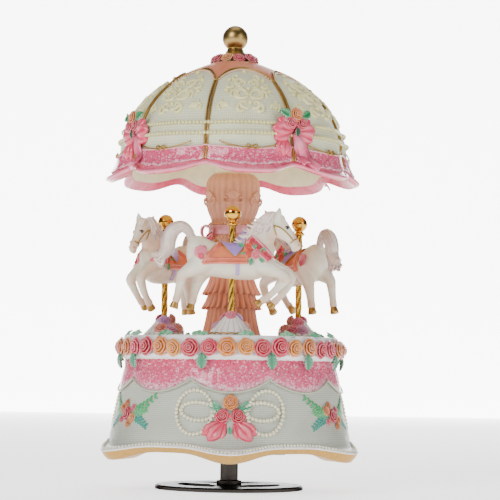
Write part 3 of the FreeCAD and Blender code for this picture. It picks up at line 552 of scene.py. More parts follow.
def makeLace():
    # swags: the lower edge is a parabola between cusps every 40 degrees; folds fan down from each cusp
    angle = np.linspace(0, 360, 540, endpoint=False)
    offset = (angle + 90 + lace["swag"] / 2) % lace["swag"] - lace["swag"] / 2
    x = 2 * offset / lace["swag"]
    low = lace["low"] + lace["rise"] * x ** 2
    t = np.linspace(0, 1, 30)[:, None]
    z = lace["top"] + (low - lace["top"]) * t
    fold = 0.45 * np.exp(-((1 - np.abs(x)) / 0.16) ** 2) * np.sin(np.pi * np.clip(t * 1.2, 0, 1)) ** 0.7
    ripple = 0.12 * np.sin(np.radians(angle) * 90) * (1 - t)
    hang = 0.25 * np.sin(np.pi * t) * np.cos(np.pi * x) + 0.25 * (t > 0.95)
    r = np.maximum(wallRadius(np.minimum(z, 50)), 43.2) + 0.75 + fold + ripple + hang
    a = np.radians(angle)
    outer = np.stack([r * np.cos(a), r * np.sin(a), z], 2)
    inner = np.stack([(r - lace["thickness"]) * np.cos(a), (r - lace["thickness"]) * np.sin(a), z], 2)
    verts = np.concatenate([outer, inner[::-1]])
    frost = np.clip((t - 0.45) / 0.45, 0, 1) * np.ones_like(x)
    frost = np.concatenate([frost, frost[::-1]])
    skirt = block(verts, gridQuads(60, 540, True, True), 0, "#e07898", frost)
    # the pink is darker at the top and lighter below: painted shade under the rim ledge
    tone = np.array(hexColour("#c94a72")[:3]) + (np.array(hexColour("#ec8cab")[:3])
                                                - np.array(hexColour("#c94a72")[:3])) * np.clip(t * 1.4, 0,
                                                                                                1)[..., None]
    tone = np.broadcast_to(tone, (30, 540, 3))
    skirt["tone"][:, :3] = np.concatenate([tone, tone[::-1]]).reshape(-1, 3)
    edge = np.stack([(r[-1] + 0.1) * np.cos(a), (r[-1] + 0.1) * np.sin(a), z[-1]], 1)
    cord = tube(edge, 0.42, 6, closed=True, slot=1, paint="#b9bcae", depth=0.6)
    makePiece("laceSkirt", [skirt, cord], [pinkGlitter, whiteResin], replaces=("lace_skirt",))


garland = {"count": 40, "radius": 45.7, "height": 58.1, "size": 3.85, "first": -92.0}


def makeGarland():
    # pairs of pink and orange roses every 9 degrees, light sprigs above and dark leaves hanging below
    parts = []
    step = 360 / garland["count"]
    for i in range(garland["count"]):
        angle = garland["first"] + step * i + rng.uniform(-0.7, 0.7)
        colours = rosePinks if (i // 2) % 2 else roseOranges
        size = garland["size"] * rng.uniform(0.92, 1.05)
        place = wallPlace(angle, garland["radius"] - 0.25, garland["height"] + rng.uniform(-0.35, 0.35),
                          rng.uniform(-6, 8), rng.uniform(0, 360))
        parts.append(roseAt(place, size, colours[i % 3], i))
    makePiece("rimRoses", parts, [petalPaint], replaces=("rim_roses",))
    leaves = []
    for i in range(16):
        angle = -84 + 22.5 * i + rng.uniform(-3, 3)
        for turn in (-55, 0, 55):
            size = rng.uniform(3.6, 4.4)
            leaf = leafShape(size, size * 0.62, ("#8fc7a8", "#a5d2b4", "#7fbd9c")[i % 3], teeth=3)
            place = wallPlace(angle, 44.0, 62.2, 38, turn + rng.uniform(-10, 10))
            leaves.append(moved(leaf, place))
    for angle in (-167, -147, -104, -70, -49, -25, 8, 33, 58, 88, 118, 145, 170):
        leaf = leafShape(6.2, 4.2, "#4c8f74", teeth=5, bend=0.05)
        leaves.append(moved(leaf, wallPlace(angle, 46.5, 55.7, -4, 180 + rng.uniform(-8, 8))))
        leaves.append(moved(leafShape(4.2, 2.8, "#6fae8c", teeth=4),
                            wallPlace(angle + 2, 46.2, 56.2, -4, 150)))
    makePiece("rimLeaves", leaves, [leafPaint], replaces=("rim_leaves",))


makeBase()
makeBasePearls()
makeLace()
makeGarland()
print("base ready")


canopy = {"ribs": 8, "half": 22.5, "rows": 84, "steps": 480, "wall": 1.5, "crownRib": 32.0,
          "crownCentre": 20.5}
canopyRows = smoothLine([(10.0, 177.3, 0.0, 0.0), (18.0, 174.0, 0.2, 0.0), (28.0, 169.0, 0.6, 0.0),
                         (36.4, 162.3, 1.1, 0.0), (42.0, 155.6, 1.5, 0.0), (45.4, 148.9, 1.8, 0.2),
                         (47.2, 143.9, 2.0, 0.4), (47.7, 139.0, 2.2, 0.8), (48.6, 134.2, 2.8, 1.6),
                         (50.3, 130.7, 4.1, 2.6), (52.7, 127.7, 5.9, 3.4)], 401)
canopyShare = np.linspace(0, 1, 401)


def ribShare(angle):
    # 1 on a rib, 0 in the middle of a panel; angle in degrees
    turn = np.radians(np.asarray(angle) - canopyTurn + canopy["half"])
    return (0.5 - 0.5 * np.cos(canopy["ribs"] * turn)) ** 2


def canopyAt(angle, share, lift=0.0):
    # point on the shell: share runs from 0 at the crown to 1 at the wavy rim, lift is along the normal
    angle, share, lift = np.broadcast_arrays(np.asarray(angle, float), np.asarray(share, float), lift)
    place = np.clip(share, 0, 1) * 400
    i = np.minimum(place.astype(int), 399)
    row = canopyRows[i] + (canopyRows[i + 1] - canopyRows[i]) * (place - i)[..., None]
    step = canopyRows[i + 1] - canopyRows[i]
    k = ribShare(angle)
    dr, dz = step[..., 0] - step[..., 2] * k, step[..., 1] + step[..., 3] * k
    size = np.hypot(dr, dz)
    r = row[..., 0] - row[..., 2] * k - lift * dz / size
    z = row[..., 1] + row[..., 3] * k + lift * dr / size
    a = np.radians(angle)
    return np.stack([r * np.cos(a), r * np.sin(a), z], -1)


def canopyHeight(angle, z):
    # share along the shell at which each angle reaches a height
    angle, z = np.broadcast_arrays(np.asarray(angle, float), np.asarray(z, float))
    k = ribShare(angle).ravel()
    found = [np.interp(-h, -(canopyRows[:, 1] + canopyRows[:, 3] * s), canopyShare)
             for h, s in zip(z.ravel(), k)]
    return np.array(found).reshape(angle.shape)


def panelOffset(angle):
    # degrees from the middle of the nearest panel, negative towards the rib before it
    return (np.asarray(angle) - canopyTurn) % (2 * canopy["half"]) - canopy["half"]


def crownEdge(angle):
    # share where the peach crown meets the ivory: an arch per panel, highest in its middle
    off = np.abs(panelOffset(angle) / canopy["half"])
    spread = canopy["crownRib"] - canopy["crownCentre"]
    r = canopy["crownCentre"] + spread * (0.75 * off ** 2 + 0.25 * off ** 6)
    return np.interp(r, canopyRows[:, 0] - canopyRows[:, 2] * 0.4, canopyShare)


def laceTop(angle):
    return canopyHeight(angle, 136.6 + 1.6 * np.abs(panelOffset(angle) / canopy["half"]) ** 1.5)


def laceLow(angle):
    return canopyHeight(angle, 130.2 + 2.9 * np.abs(panelOffset(angle) / canopy["half"]) ** 1.5)


def makeCanopy():
    # outer face and inner face of the shell carried round Z: ivory net, peach crown, pink satin lip
    angle = np.linspace(0, 360, canopy["steps"], endpoint=False)
    share = np.linspace(0, 1, canopy["rows"])[:, None]
    edge = crownEdge(angle)[None]
    outer = canopyAt(angle, share, 0.5 * np.clip((edge - share) / 0.03, 0, 1) * np.ones_like(share))
    inner = canopyAt(angle, share, -canopy["wall"])
    hub = np.stack([np.broadcast_to(7.2 * np.cos(np.radians(angle)), angle.shape),
                    7.2 * np.sin(np.radians(angle)), np.full(angle.shape, 177.5)], -1)
    under = hub - np.array([0, 0, 5.4])
    verts = np.concatenate([hub[None], outer, inner[::-1], under[None]])
    quads = gridQuads(len(verts), len(angle), True, True)
    where = np.repeat(np.arange(len(verts)), len(angle))
    row = np.clip(where - 1, 0, canopy["rows"] - 1)
    column = np.tile(np.arange(len(angle)), len(verts))
    onOuter = where <= canopy["rows"]
    slots = np.where(onOuter, 0, 3)
    middle = share[row, 0] + 0.5 / canopy["rows"]
    slots[onOuter & (middle < edge[0][column])] = 1
    slots[onOuter & (middle > laceLow(angle)[column] - 0.02)] = 2
    slots[(where > canopy["rows"]) & (where < canopy["rows"] + 10)] = 2
    uvX = panelOffset(angle) * 0.82 + 40
    uv = np.stack([np.broadcast_to(uvX, verts.shape[:2]), np.broadcast_to(verts[..., 2], verts.shape[:2])], 2)
    shell = block(verts, quads, 0, "#ffffff", 0.75, uv)
    shell["m"] = [slots]
    tone = shell["tone"].reshape(*verts.shape[:2], 4)
    # tone alpha lower along the rib grooves: painted shade in the grooves
    tone[..., 3] = 0.85 - 0.35 * ribShare(angle)[None] ** 3
    shares = np.concatenate([[0], share[:, 0]])[:, None]
    tone[:1 + canopy["rows"], :, :3][shares < edge + 0.004] = hexColour("#f0ae8c")[:3]
    tone[:1 + canopy["rows"], :, :3][shares > laceLow(angle)[None] - 0.04] = hexColour("#ef8fa8")[:3]
    tone[1 + canopy["rows"]:, :, :3] = hexColour("#f1ecd3")[:3]
    tone[1 + canopy["rows"]:11 + canopy["rows"], :, :3] = hexColour("#ec86a0")[:3]
    makePiece("canopyShell", [shell], [canopyNet, peachSatin, pinkSatin, creamResin],
              replaces=("canopy_shell",))
    makeCanopyLace(angle)


def makeCanopyLace(angle):
    # glitter lace band on each panel, scalloped below, with a frosted lower edge and a raised top cord
    top, low = laceTop(angle), laceLow(angle)
    scallop = 0.012 * np.abs(np.sin(np.radians(angle - canopyTurn) * 28))
    t = np.linspace(0, 1, 22)[:, None]
    share = top + (low + scallop - top) * t
    fold = 0.22 * np.sin(np.radians(angle) * 56 + 3 * np.sin(np.radians(angle) * 16)) * t
    outer = canopyAt(angle, share, 0.85 + fold)
    inner = canopyAt(angle, share, 0.06)
    frost = np.clip((t - 0.55) / 0.4, 0, 1) * np.ones_like(angle)
    band = block(np.concatenate([outer, inner[::-1]]), gridQuads(44, len(angle), True, True), 0, "#e0799b",
                 np.concatenate([frost, frost[::-1]]))
    cord = tube(canopyAt(angle, top - 0.004, 0.75), 0.34, 6, closed=True, slot=1, paint="#f1c9cf", depth=0.7)
    lip = tube(canopyAt(angle, np.full(angle.shape, 0.996), 0.15), 0.75, 8, closed=True, slot=2,
               paint="#f3a9bb", depth=0.8)
    makePiece("canopyLace", [band, cord, lip], [pinkGlitter, pearlPaint, pinkSatin])


def makeCanopyGold():
    # two gold cords on every rib, one along each crown arch, and a hanging swag line on every panel
    parts = []
    for rib in range(canopy["ribs"]):
        at = canopyTurn + 2 * canopy["half"] * rib
        share = np.linspace(crownEdge(at + 0.01), canopyHeight(at, 132.6), 70)
        for side in (-1, 1):
            lift = 0.42 + 0.6 * np.clip((share - laceTop(at)) / 0.02, 0, 1)
            line = canopyAt(at + side * (0.5 / np.linspace(30, 46, 70)) * 57.3, share, lift)
            parts.append(tube(line, 0.44, 8, depth=0.9))
        middle = at + canopy["half"]
        angle = np.linspace(middle - 22.3, middle + 22.3, 61)
        parts.append(tube(canopyAt(angle, crownEdge(angle) + 0.002, 0.6), 0.42, 8))
        angle = np.linspace(middle - 15.5, middle + 15.5, 61)
        off = (angle - middle) / 15.5
        parts.append(tube(canopyAt(angle, canopyHeight(angle, 136.9 + 2.9 * off ** 2), 1.0), 0.30, 6))
        bow = np.linspace(0, 2 * np.pi, 49)
        eight = np.stack([2.1 * np.sin(bow), 1.15 * np.sin(2 * bow) + 0.35 * np.abs(np.sin(bow))], 1)
        spot = canopyHeight(middle, 137.3)
        line = canopyAt(middle + eight[:, 0] / 47 * 57.3, spot - eight[:, 1] * 0.0135, 1.2)
        parts.append(tube(line[:-1], 0.36, 6, closed=True))
        parts.append(beads([canopyAt(middle, spot, 1.3)], 0.62, "#ffffff"))
    makePiece("canopyGoldTrim", parts, [goldPaint])
    arches = []
    for rib in range(canopy["ribs"]):
        middle = canopyTurn + 2 * canopy["half"] * (rib + 0.5)
        spots = np.linspace(middle - 21.5, middle + 21.5, 36)
        arches.append(beads(canopyAt(spots, crownEdge(spots) + 0.020, 0.3), 0.5, "#f3d9c0", 0, 4, 7))
    makePiece("canopyArchPearls", arches, [pearlPaint])


def makeCanopyStrings():
    # moulded pearls in two level strings round the panels
    parts = []
    for height in (147.5, 143.3):
        angle = np.arange(192) * 360 / 192
        parts.append(beads(canopyAt(angle, canopyHeight(angle, height), 0.6), 0.82, "#e6e2b8", rings=5,
                           sides=9))
    makePiece("canopyPearlStrings", parts, [pearlPaint], replaces=("canopy_pearls",))


def scroll(start, heading, length, curl, count=26):
    # plane spiral: the heading turns faster and faster towards the curled end; millimetres
    s = np.linspace(0, 1, count)
    turn = heading + curl * s ** 1.8
    step = length / (count - 1)
    x = start[0] + np.cumsum(np.cos(turn)) * step
    y = start[1] + np.cumsum(np.sin(turn)) * step
    return np.stack([x, y], 1), 0.15 + 0.42 * np.sin(np.pi * np.clip(s * 0.9 + 0.1, 0, 1)) ** 0.6


scrollLines = [((0.4, -1.0), 1.2, 11, -4.6), ((0.4, -1.0), -0.5, 12, 4.4), ((2.0, 3.2), 0.3, 11, 5.0),
               ((3.0, -4.0), -0.3, 10, -4.8), ((0.6, 6.0), 1.0, 9, -5.2), ((6.5, 5.0), -0.9, 7, 4.6),
               ((9.0, -1.5), 1.6, 8, 4.4), ((0.5, -7.0), -0.2, 9, 4.8), ((10.5, -7.0), 1.2, 7, -4.4),
               ((13.5, -2.5), -1.3, 7, -4.6), ((3.5, 10.0), 0.4, 6, -4.8), ((14.5, -8.0), 0.7, 6, 4.4)]


def makeScrollwork():
    # raised leaf scrolls, mirrored about each panel's middle, laid on the shell
    parts = []
    for rib in range(canopy["ribs"]):
        middle = canopyTurn + 2 * canopy["half"] * (rib + 0.5)
        for start, heading, length, curl in scrollLines:
            line, width = scroll(start, heading, length, curl)
            for side in (-1, 1):
                height = 159.5 + line[:, 1] * 0.84
                reach = np.interp(-height, -canopyRows[:, 1], canopyRows[:, 0])
                angle = middle + side * np.minimum(line[:, 0] * 0.82 / reach * 57.3, 19)
                path = canopyAt(angle, canopyHeight(angle, height), 0.30)
                parts.append(tube(path, width * 0.95 + 0.16, 8, paint="#f4efbf", depth=0.95))
        spots = [(0, 13.2), (0, 3.0), (0, -4.4), (5.6, 1.2), (-5.6, 1.2), (8.6, 8.0), (-8.6, 8.0), (11, 2),
                 (-11, 2)]
        for x, y in spots:
            height = 159.5 + y * 0.84
            reach = np.interp(-height, -canopyRows[:, 1], canopyRows[:, 0])
            at = canopyAt(middle + x * 0.8 / reach * 57.3, canopyHeight(middle, height), 0.3)
            parts.append(beads([at], 0.95, "#f4efbf", rings=5, sides=9))
    makePiece("canopyScrollwork", parts, [ivoryPaint])


def ribbonLoop(width, height, side, paint="#e8799d", broad=3.4):
    # loop of broad ribbon seen from the front (+Z): an oval band whose breadth leans outwards, ruffled
    u = np.linspace(0, 2 * np.pi, 44)
    v = np.linspace(-0.5, 0.5, 7)
    x = side * width * (0.5 - 0.5 * np.cos(u))
    y = height * 0.5 * np.sin(u) * (0.35 + 0.65 * np.sin(u / 2))
    ruffle = 0.35 * np.sin(5 * u)[:, None] * v
    z = 0.6 + broad * (v[None] + 0.5) + 0.9 * np.sin(u / 2)[:, None] + ruffle
    lean = 1 + 0.16 * v[None]
    grid = np.stack([x[:, None] * lean, y[:, None] * lean + ruffle, z], 2)
    light = 0.45 + 0.5 * (v[None] + 0.5) + 0 * u[:, None]
    return slab(grid, 0.6, 0, paint, light[None])


def ribbonTail(points, width, paint="#ee8fac", wave=1.1):
    # hanging ribbon: a strip along a line in the face plane that waves in and out, notched at its end
    path = smoothLine(points, 30)
    along = unit(np.gradient(path, axis=0))
    across = np.stack([-along[:, 1], along[:, 0], 0 * along[:, 0]], 1)
    v = np.linspace(-0.5, 0.5, 6)
    t = np.linspace(0, 1, 30)
    breadth = width * (0.45 + 0.55 * np.clip(t * 3, 0, 1))
    grid = path[:, None] + across[:, None] * v[None, :, None] * breadth[:, None, None]
    grid[..., 2] += wave * np.sin(7 * t)[:, None] * 0.5 + 0.5 * np.cos(v[None] * 5) * 1.0
    grid[-1] += (along[-1] * 0.9)[None] * (np.abs(v)[:, None] * 3 - 0.4)
    light = 0.6 + 0.35 * np.sin(7 * t)[:, None] + 0 * v[None]
    return slab(grid, 0.55, 0, paint, np.clip(light, 0, 1)[None])


def puffShape(length, width, paint, thick=0.55):
    # swollen fold of ribbon along -Y: section half-width w(v) = width/2 (0.28 + 0.72 sin(pi v^1.25)),
    # height = thick w, with one crease down the middle of its upper side
    u = np.linspace(0, 2 * np.pi, 24, endpoint=False)[None]
    v = np.linspace(0.0, 1.0, 18)[:, None]
    half = width / 2 * (0.28 * (1 - v ** 6) + 0.72 * np.sin(np.pi * v ** 1.25))
    crease = 1 - 0.42 * np.exp(-((u - np.pi / 2) / 0.32) ** 2) * np.sin(np.pi * np.clip(v * 1.1, 0, 1)) ** 0.5
    x = half * np.cos(u)
    y = -length * v + 0 * u
    z = thick * half * np.sin(u) * crease * 1.25
    z = np.where(z < 0, 0.2 * z, z)
    light = np.clip(0.25 + 0.75 * np.sin(u) * crease * np.sin(np.pi * np.clip(v, 0.05, 0.95)) ** 0.4, 0, 1)
    rows = np.stack([x, y, z], 2)
    ends = [np.array([[0, 0, 0]]), np.array([[0, -length, 0]])]
    side = gridQuads(18, 24, False, True)
    verts = np.concatenate([rows.reshape(-1, 3), *ends])
    ring = np.arange(24)
    caps = [np.stack([ring, (ring + 1) % 24, np.full(24, 432)], 1),
            np.stack([408 + (ring + 1) % 24, 408 + ring, np.full(24, 433)], 1)]
    shape = block(verts, side, 0, paint, np.concatenate([light.ravel(), [0.2, 0.5]]))
    for cap in caps:
        shape["f"].append(cap)
        shape["m"].append(np.zeros(24, int))
    return shape


def budShape(length, width, paint, seed=0):
    # drooping bud along -Y: a swollen middle petal lapped by two narrower ones
    pick = np.random.default_rng(seed)
    parts = [puffShape(length * 0.96, width * 0.62, paint, 0.8)]
    for side in (-1, 1):
        petal = puffShape(length * pick.uniform(0.86, 0.94), width * 0.46, paint, 0.7)
        parts.append(moved(petal, Matrix.Translation((side * width * 0.10, 0, -0.2))
                           @ Matrix.Rotation(side * 0.30, 4, "Z")))
    return joinParts(parts)


def makeCanopyBows():
    # puffed ribbon loops, one drooping bud, one long tail, roses and leaves, on every other rib
    for number, angle in enumerate(canopyBowAngles, 1):
        ribbon, leaves = [], []
        for side in (-1, 1):
            for turn, length, width, lift in ((1.15, 9.6, 6.4, 0.8), (1.62, 9.8, 6.6, 1.5),
                                              (2.15, 8.6, 5.8, 1.9)):
                ribbon.append(moved(puffShape(length, width, ("#e8718f", "#dd6484")[int(turn * 4) % 2], 0.7),
                                    Matrix.Translation((side * 0.6, 0.4,
                                                        lift)) @ Matrix.Rotation(side * turn, 4, "Z")))
        ribbon.append(ribbonTail([(0.5, -1, 1.8), (3.2, -6.0, 2.0), (5.6, -10.6, 2.6), (8.4, -15.4, 6.4)],
                                 5.0))
        ribbon.append(ribbonTail([(0.5, -1, 1.2), (2.0, -6.0, 1.2), (2.6, -9.6, 1.6), (3.8, -13.0, 4.0)], 4.4,
                                 "#e57f9f"))
        ribbon.append(moved(budShape(8.4, 8.0, "#e8708f", number), Matrix.Translation((-4.0, -2.8, 1.2))
                            @ Matrix.Rotation(-0.25, 4, "Z")))
        for x, y, size, paint, seed in ((0.0, 6.4, 2.9, roseOranges[0], 2), (-2.4, 3.0, 2.5, rosePinks[1], 1),
                                        (2.6, 3.0, 2.5, rosePinks[2], 0)):
            ribbon.append(roseAt(Matrix.Translation((x, y, 3.4)), size, paint, seed))
        for x, y, turn, size, paint in ((-2.6, 5.6, 62, 5.0, "#3f8e68"), (2.8, 5.4, -58, 5.0, "#3a8862"),
                                        (-1.4, 5.0, 100, 4.2, "#55a57c"), (1.6, 4.8, -105, 4.0, "#55a57c"),
                                        (0.4, 1.2, 180, 3.6, "#1f4a34")):
            leaves.append(moved(leafShape(size, size * 0.62, paint, teeth=4, slot=1),
                                Matrix.Translation((x, y, 3.6)) @ spinZ(turn)))
        place = wallPlace(angle, 45.0, 144.6, 6)
        makePiece(f"canopyBow{number}", [moved(part, place) for part in ribbon + leaves],
                  [ribbonPaint, leafPaint], replaces=(f"canopy_bow_{number}",))


def makeFinial():
    # gold ball, waist and flared skirt turned as one, closed underneath
    ball = [(5.4 * math.sin(t), 188.9 - 5.4 * math.cos(t)) for t in np.linspace(0.62, np.pi - 0.02, 34)]
    foot = [(0.02, 177.7), (5.2, 177.7), (5.7, 178.1), (5.75, 178.9), (5.5, 180.6), (5.55, 181.3),
            (5.1, 181.9),
            (4.2, 182.6), (3.7, 183.4), (3.45, 184.0), (3.25, 184.4)]
    makePiece("finialBall", [turnedShape(foot + ball, 96)], [satinGold], replaces=("finial",))


def makeWreath():
    # ten roses and leaves laid round the finial's foot on the crown
    parts = []
    colours = rosePinks + (roseOranges[1],) + rosePinks[:1] + (roseOranges[2],)
    for i in range(10):
        angle = -90 + 12 + 36 * i
        place = wallPlace(angle, 7.6 + 0.5 * (i % 2), 179.1 + 0.3 * (i % 2), 42)
        parts.append(roseAt(place, 2.75 + 0.25 * ((i * 7) % 3 - 1), colours[i % 6], i))
        for shift in (-10, 14):
            leaf = leafShape(4.0, 2.4, ("#67a884", "#4d9470", "#86bf9c")[i % 3], teeth=3, slot=1)
            parts.append(moved(leaf, wallPlace(angle + 18 + shift, 7.4, 178.6, 58, 180 + shift * 2)))
    makePiece("finialWreath", parts, [petalPaint, leafPaint], replaces=("finial_wreath",))


makeCanopy()
makeCanopyGold()
makeCanopyStrings()
makeScrollwork()
makeCanopyBows()
makeFinial()
makeWreath()
print("canopy ready")


columnProfile = [(0.02, 63.0), (9.6, 63.0), (9.8, 66), (9.4, 74), (9.6, 76), (9.2, 82), (9.0, 88),
                 (8.6, 90.5),
                 (8.9, 91.0), (8.6, 91.6), (8.6, 103.2), (9.3, 104.2), (9.2, 105.2), (9.2, 109.8),
                 (9.7, 110.6),
                 (8.9, 111.4), (9.6, 114), (10.8, 118), (10.9, 121), (10.9, 125), (10.8, 128), (10.3, 129.6),
                 (9.3, 130.6), (7.6, 132.0), (7.2, 137), (7.0, 150), (7.0, 172.0), (0.02, 172.0)]


def makeColumn():
    # lathe with rounded flutes in its middle and finer pleats on the lantern
    def wave(a, z):
        flute = 0.075 * np.abs(np.sin(a * 9)) * ((z > 91.5) & (z < 103.3))
        pleat = 0.05 * np.abs(np.sin(a * 12)) * np.clip((z - 112) / 3, 0, 1) * np.clip((129 - z) / 2, 0, 1)
        return 1 + flute + pleat
    profile = []
    for (r0, z0), (r1, z1) in zip(columnProfile, columnProfile[1:]):
        count = max(2, int(abs(z1 - z0) / 0.9) + 1)
        profile += list(zip(np.linspace(r0, r1, count)[:-1], np.linspace(z0, z1, count)[:-1]))
    profile.append(columnProfile[-1])
    body = turnedShape(profile, 216, wave=wave, paint="#d3a88f")
    a = np.arctan2(body["v"][:, 1], body["v"][:, 0])
    z = body["v"][:, 2]
    # tone alpha low in the flute hollows and along the pleat angle elsewhere, high on the crests: painted
    # shade in the grooves, painted highlight on the crests
    body["tone"][:, 3] = np.where((z > 91.5) & (z < 103.3), 0.25 + 0.7 * np.abs(np.sin(a * 9)),
                                  0.5 + 0.4 * np.abs(np.sin(a * 12)))
    body["tone"][z > 130.8, :3] = hexColour("#f1ecd3")[:3]
    parts = [body]
    for low, top, lowR, topR, count in ((63.2, 75.6, 11.9, 9.9, 26), (74.9, 81.8, 12.0, 9.6, 26),
                                        (80.9, 88.6, 11.8, 9.1, 24)):
        a = np.linspace(0, 2 * np.pi, 240, endpoint=False)
        t = np.linspace(0, 1, 16)[:, None]
        frill = (0.25 + 0.75 * t) * 0.75 * np.sin(a * count + low)
        r = topR + (lowR - topR) * t ** 1.6 + frill
        z = top + (low - top) * t - 0.5 * t * np.cos(a * count + low)
        face = np.stack([r * np.cos(a), r * np.sin(a), z], 2)
        back = np.stack([(r - 0.7) * np.cos(a), (r - 0.7) * np.sin(a), z], 2)
        # tone alpha follows the frill folds: painted highlight on the folds that stand out, painted shade in
        # those that fall in
        depth = np.clip(0.45 + 0.5 * np.sin(a * count + low) * (0.3 + 0.7 * t), 0, 1)
        parts.append(block(np.concatenate([face, back[::-1]]), gridQuads(32, 240, True, True), 0, "#e6ad91",
                           np.concatenate([depth, depth[::-1]])))
    for low, count, size, r in ((109.9, 40, 0.7, 9.6), (90.6, 40, 0.55, 9.0),
                                (104.2, 40, 0.6, 9.3)):
        turn = np.arange(count) * 2 * np.pi / count
        parts.append(beads(np.stack([r * np.cos(turn), r * np.sin(turn), 0 * turn + low], 1), size,
                           "#e9bd9f"))
    for angle in range(-90, 270, 60):
        fan = []
        for rib in range(-3, 4):
            turn = rib * 0.27
            line = [(math.sin(turn) * s * 3.6, math.cos(turn) * s * 3.9 - 1.8, 0.5 - 0.25 * s)
                    for s in np.linspace(0.1, 1, 8)]
            fan.append(tube(line, np.linspace(0.25, 0.62, 8), 7, paint="#dcae92"))
        fan += [tube(scroll((side * 0.8, -2.2), -0.6 if side > 0 else math.pi + 0.6, 6.4, side * 4.6, 20)[0]
                     @ np.array([[1, 0, 0], [0, 1, 0]]) + np.array([0, 0, 0.3]), 0.42, 7, paint="#dcae92")
                for side in (-1, 1)]
        parts += [moved(piece, wallPlace(angle, 11.1, 121.5, -4)) for piece in fan]
    makePiece("columnBody", parts, [peachSatin], replaces=("column",))


def makeColumnBow():
    # satin band round the column with a loop and a short tail on each side
    band = turnedShape([(9.3, 105.5), (10.1, 105.7), (10.25, 107.5), (10.1, 109.4), (9.3, 109.6)], 96,
                       paint="#cf7078")
    parts = [band]
    for side in (-1, 1):
        loop = ribbonLoop(4.6, 5.6, side, paint="#d9647c", broad=3.0)
        tail = ribbonTail([(0, 0, 0.6), (side * 1.6, -2.6, 1.2), (side * 2.2, -6.0, 0.8)], 2.8, "#d9647c",
                          0.5)
        place = Matrix.Translation((side * 8.2, -5.6, 106.4)) @ Matrix.Rotation(math.pi / 2, 4, "X")
        parts += [moved(loop, place), moved(tail, place)]
    makePiece("columnRibbon", parts, [ribbonPaint], replaces=("column_bow",))


def baseAt(angle, across, height, lift=0.0):
    # matrix on the base wall: across is millimetres to the right seen from outside
    r = float(wallRadius(np.array(height)))
    turn = angle + math.degrees(across / (r + 0.5))
    k = float(cornerShare(np.array(turn)))
    r += 0.5 * k * min(max((30 - height) / 6, 0), 1)
    return wallPlace(turn, r + lift, height, 13)


def ovalSpots(width, height, count, turn=0.0):
    # points round an oval, one per bead, evenly spaced by arc length
    fine = np.linspace(0, 2 * np.pi, 721)
    x, y = width * np.cos(fine), height * np.sin(fine)
    length = np.concatenate([[0], np.cumsum(np.hypot(np.diff(x), np.diff(y)))])
    spots = np.interp(np.linspace(0, length[-1], count, endpoint=False), length, fine)
    x, y = width * np.cos(spots), height * np.sin(spots)
    return np.stack([x * math.cos(turn) - y * math.sin(turn), x * math.sin(turn) + y * math.cos(turn)], 1)


def makePearlBows():
    # two beaded loops inside one another on each side, two drooping buds, leaves, and a heap of roses
    for number, angle in enumerate(poleAngles):
        pearls, flowers = [], []
        for side in (-1, 1):
            spots = [(side * (14.4 + x), 32.4 + y) for x, y in ovalSpots(7.4, 8.7, 32, side * -0.16)]
            spots += [(side * (12.9 + x), 32.8 + y) for x, y in ovalSpots(7.0, 3.5, 22, side * -0.05)]
            pearls += [baseAt(angle, x, z, 0.55) @ Vector((0, 0, 0)) for x, z in spots if abs(x) > 5]
        parts = [beads(pearls, 0.84, "#f4f0dc", 0, 6, 10)]
        for x, z, size, paint, seed in ((0.2, 36.3, 3.1, roseOranges[0], 0),
                                        (-3.1, 30.8, 3.1, rosePinks[0], 1),
                                        (3.3, 30.8, 3.1, rosePinks[2], 2)):
            spin = Matrix.Rotation(x, 4, "Z")
            flowers.append(roseAt(baseAt(angle, x, z, 0.1) @ spin, size, paint, seed))
        for side in (-1, 1):
            place = baseAt(angle, side * 2.6, 28.6, 0.2) @ Matrix.Rotation(side * 0.62, 4, "Z")
            flowers.append(moved(budShape(10.6, 10.4, "#e8708c", number), place))
        for x, z, turn, size, paint in ((-3.6, 33.8, 68, 5.6, "#5ba183"), (3.9, 33.8, -66, 5.6, "#4d9678"),
                                        (-3.4, 33.4, 96, 4.4, "#4d9678"), (3.6, 33.4, -96, 4.4, "#5ba183"),
                                        (0.0, 26.6, 180, 3.0, "#63aa8b")):
            place = baseAt(angle, x, z, 0.6) @ spinZ(turn)
            flowers.append(moved(leafShape(size, size * 0.6, paint, teeth=4, slot=2), place))
        for piece in flowers:
            if max(piece["m"][0]) == 0:
                piece["m"] = [m + 1 for m in piece["m"]]
        makePiece(f"pearlBow{number + 1}", parts + flowers, [pearlPaint, petalPaint, leafPaint],
                  replaces=("pearl_bows",) if number == 0 else ())


def makeSprays():
    # flower sprays between the bows: a pink rose, orange buds and herringbone sprigs to each side
    for number, angle in enumerate((-30, 90, 210)):
        flowers = [roseAt(baseAt(angle, 0, 31.0, -0.1), 2.9, rosePinks[2], number)]
        for x, z, size, paint in ((-4.4, 33.2, 2.1, roseOranges[0]), (4.6, 29.4, 2.1, roseOranges[1]),
                                  (-1.8, 35.2, 1.7, roseOranges[2]), (2.6, 27.0, 1.7, roseOranges[0]),
                                  (4.0, 33.4, 1.6, rosePinks[1]), (-4.2, 28.6, 1.6, rosePinks[1])):
            flowers.append(roseAt(baseAt(angle, x, z, 0.0), size, paint, number + 1))
        for side in (-1, 1):
            for lineIndex, (rise, paint) in enumerate(((7.0, "#5fae7f"), (-4.5, "#3f9a8e"),
                                                       (2.0, "#6db985"))):
                for step in range(6):
                    x = side * (5.2 + 2.05 * step) * (1 - 0.12 * lineIndex)
                    z = 31.0 + rise * ((step + 1) / 6) ** 1.2
                    for fork in (-1, 1):
                        turn = -side * 90 + fork * 38 + side * rise * 3
                        place = baseAt(angle, x, z, 0.15) @ spinZ(turn)
                        size = 3.4 - 0.25 * step
                        flowers.append(moved(leafShape(size, size * 0.5, paint, teeth=2, slot=1, cup=0.2),
                                             place))
        makePiece(f"flowerSpray{number + 1}", flowers, [petalPaint, leafPaint],
                  replaces=("flower_sprays",) if number == 0 else ())


def atPole(angle):
    # pole positions: local +X runs round the platform, local +Y towards the column
    return spinZ(angle + 90) @ Matrix.Translation((0, -33, 0))


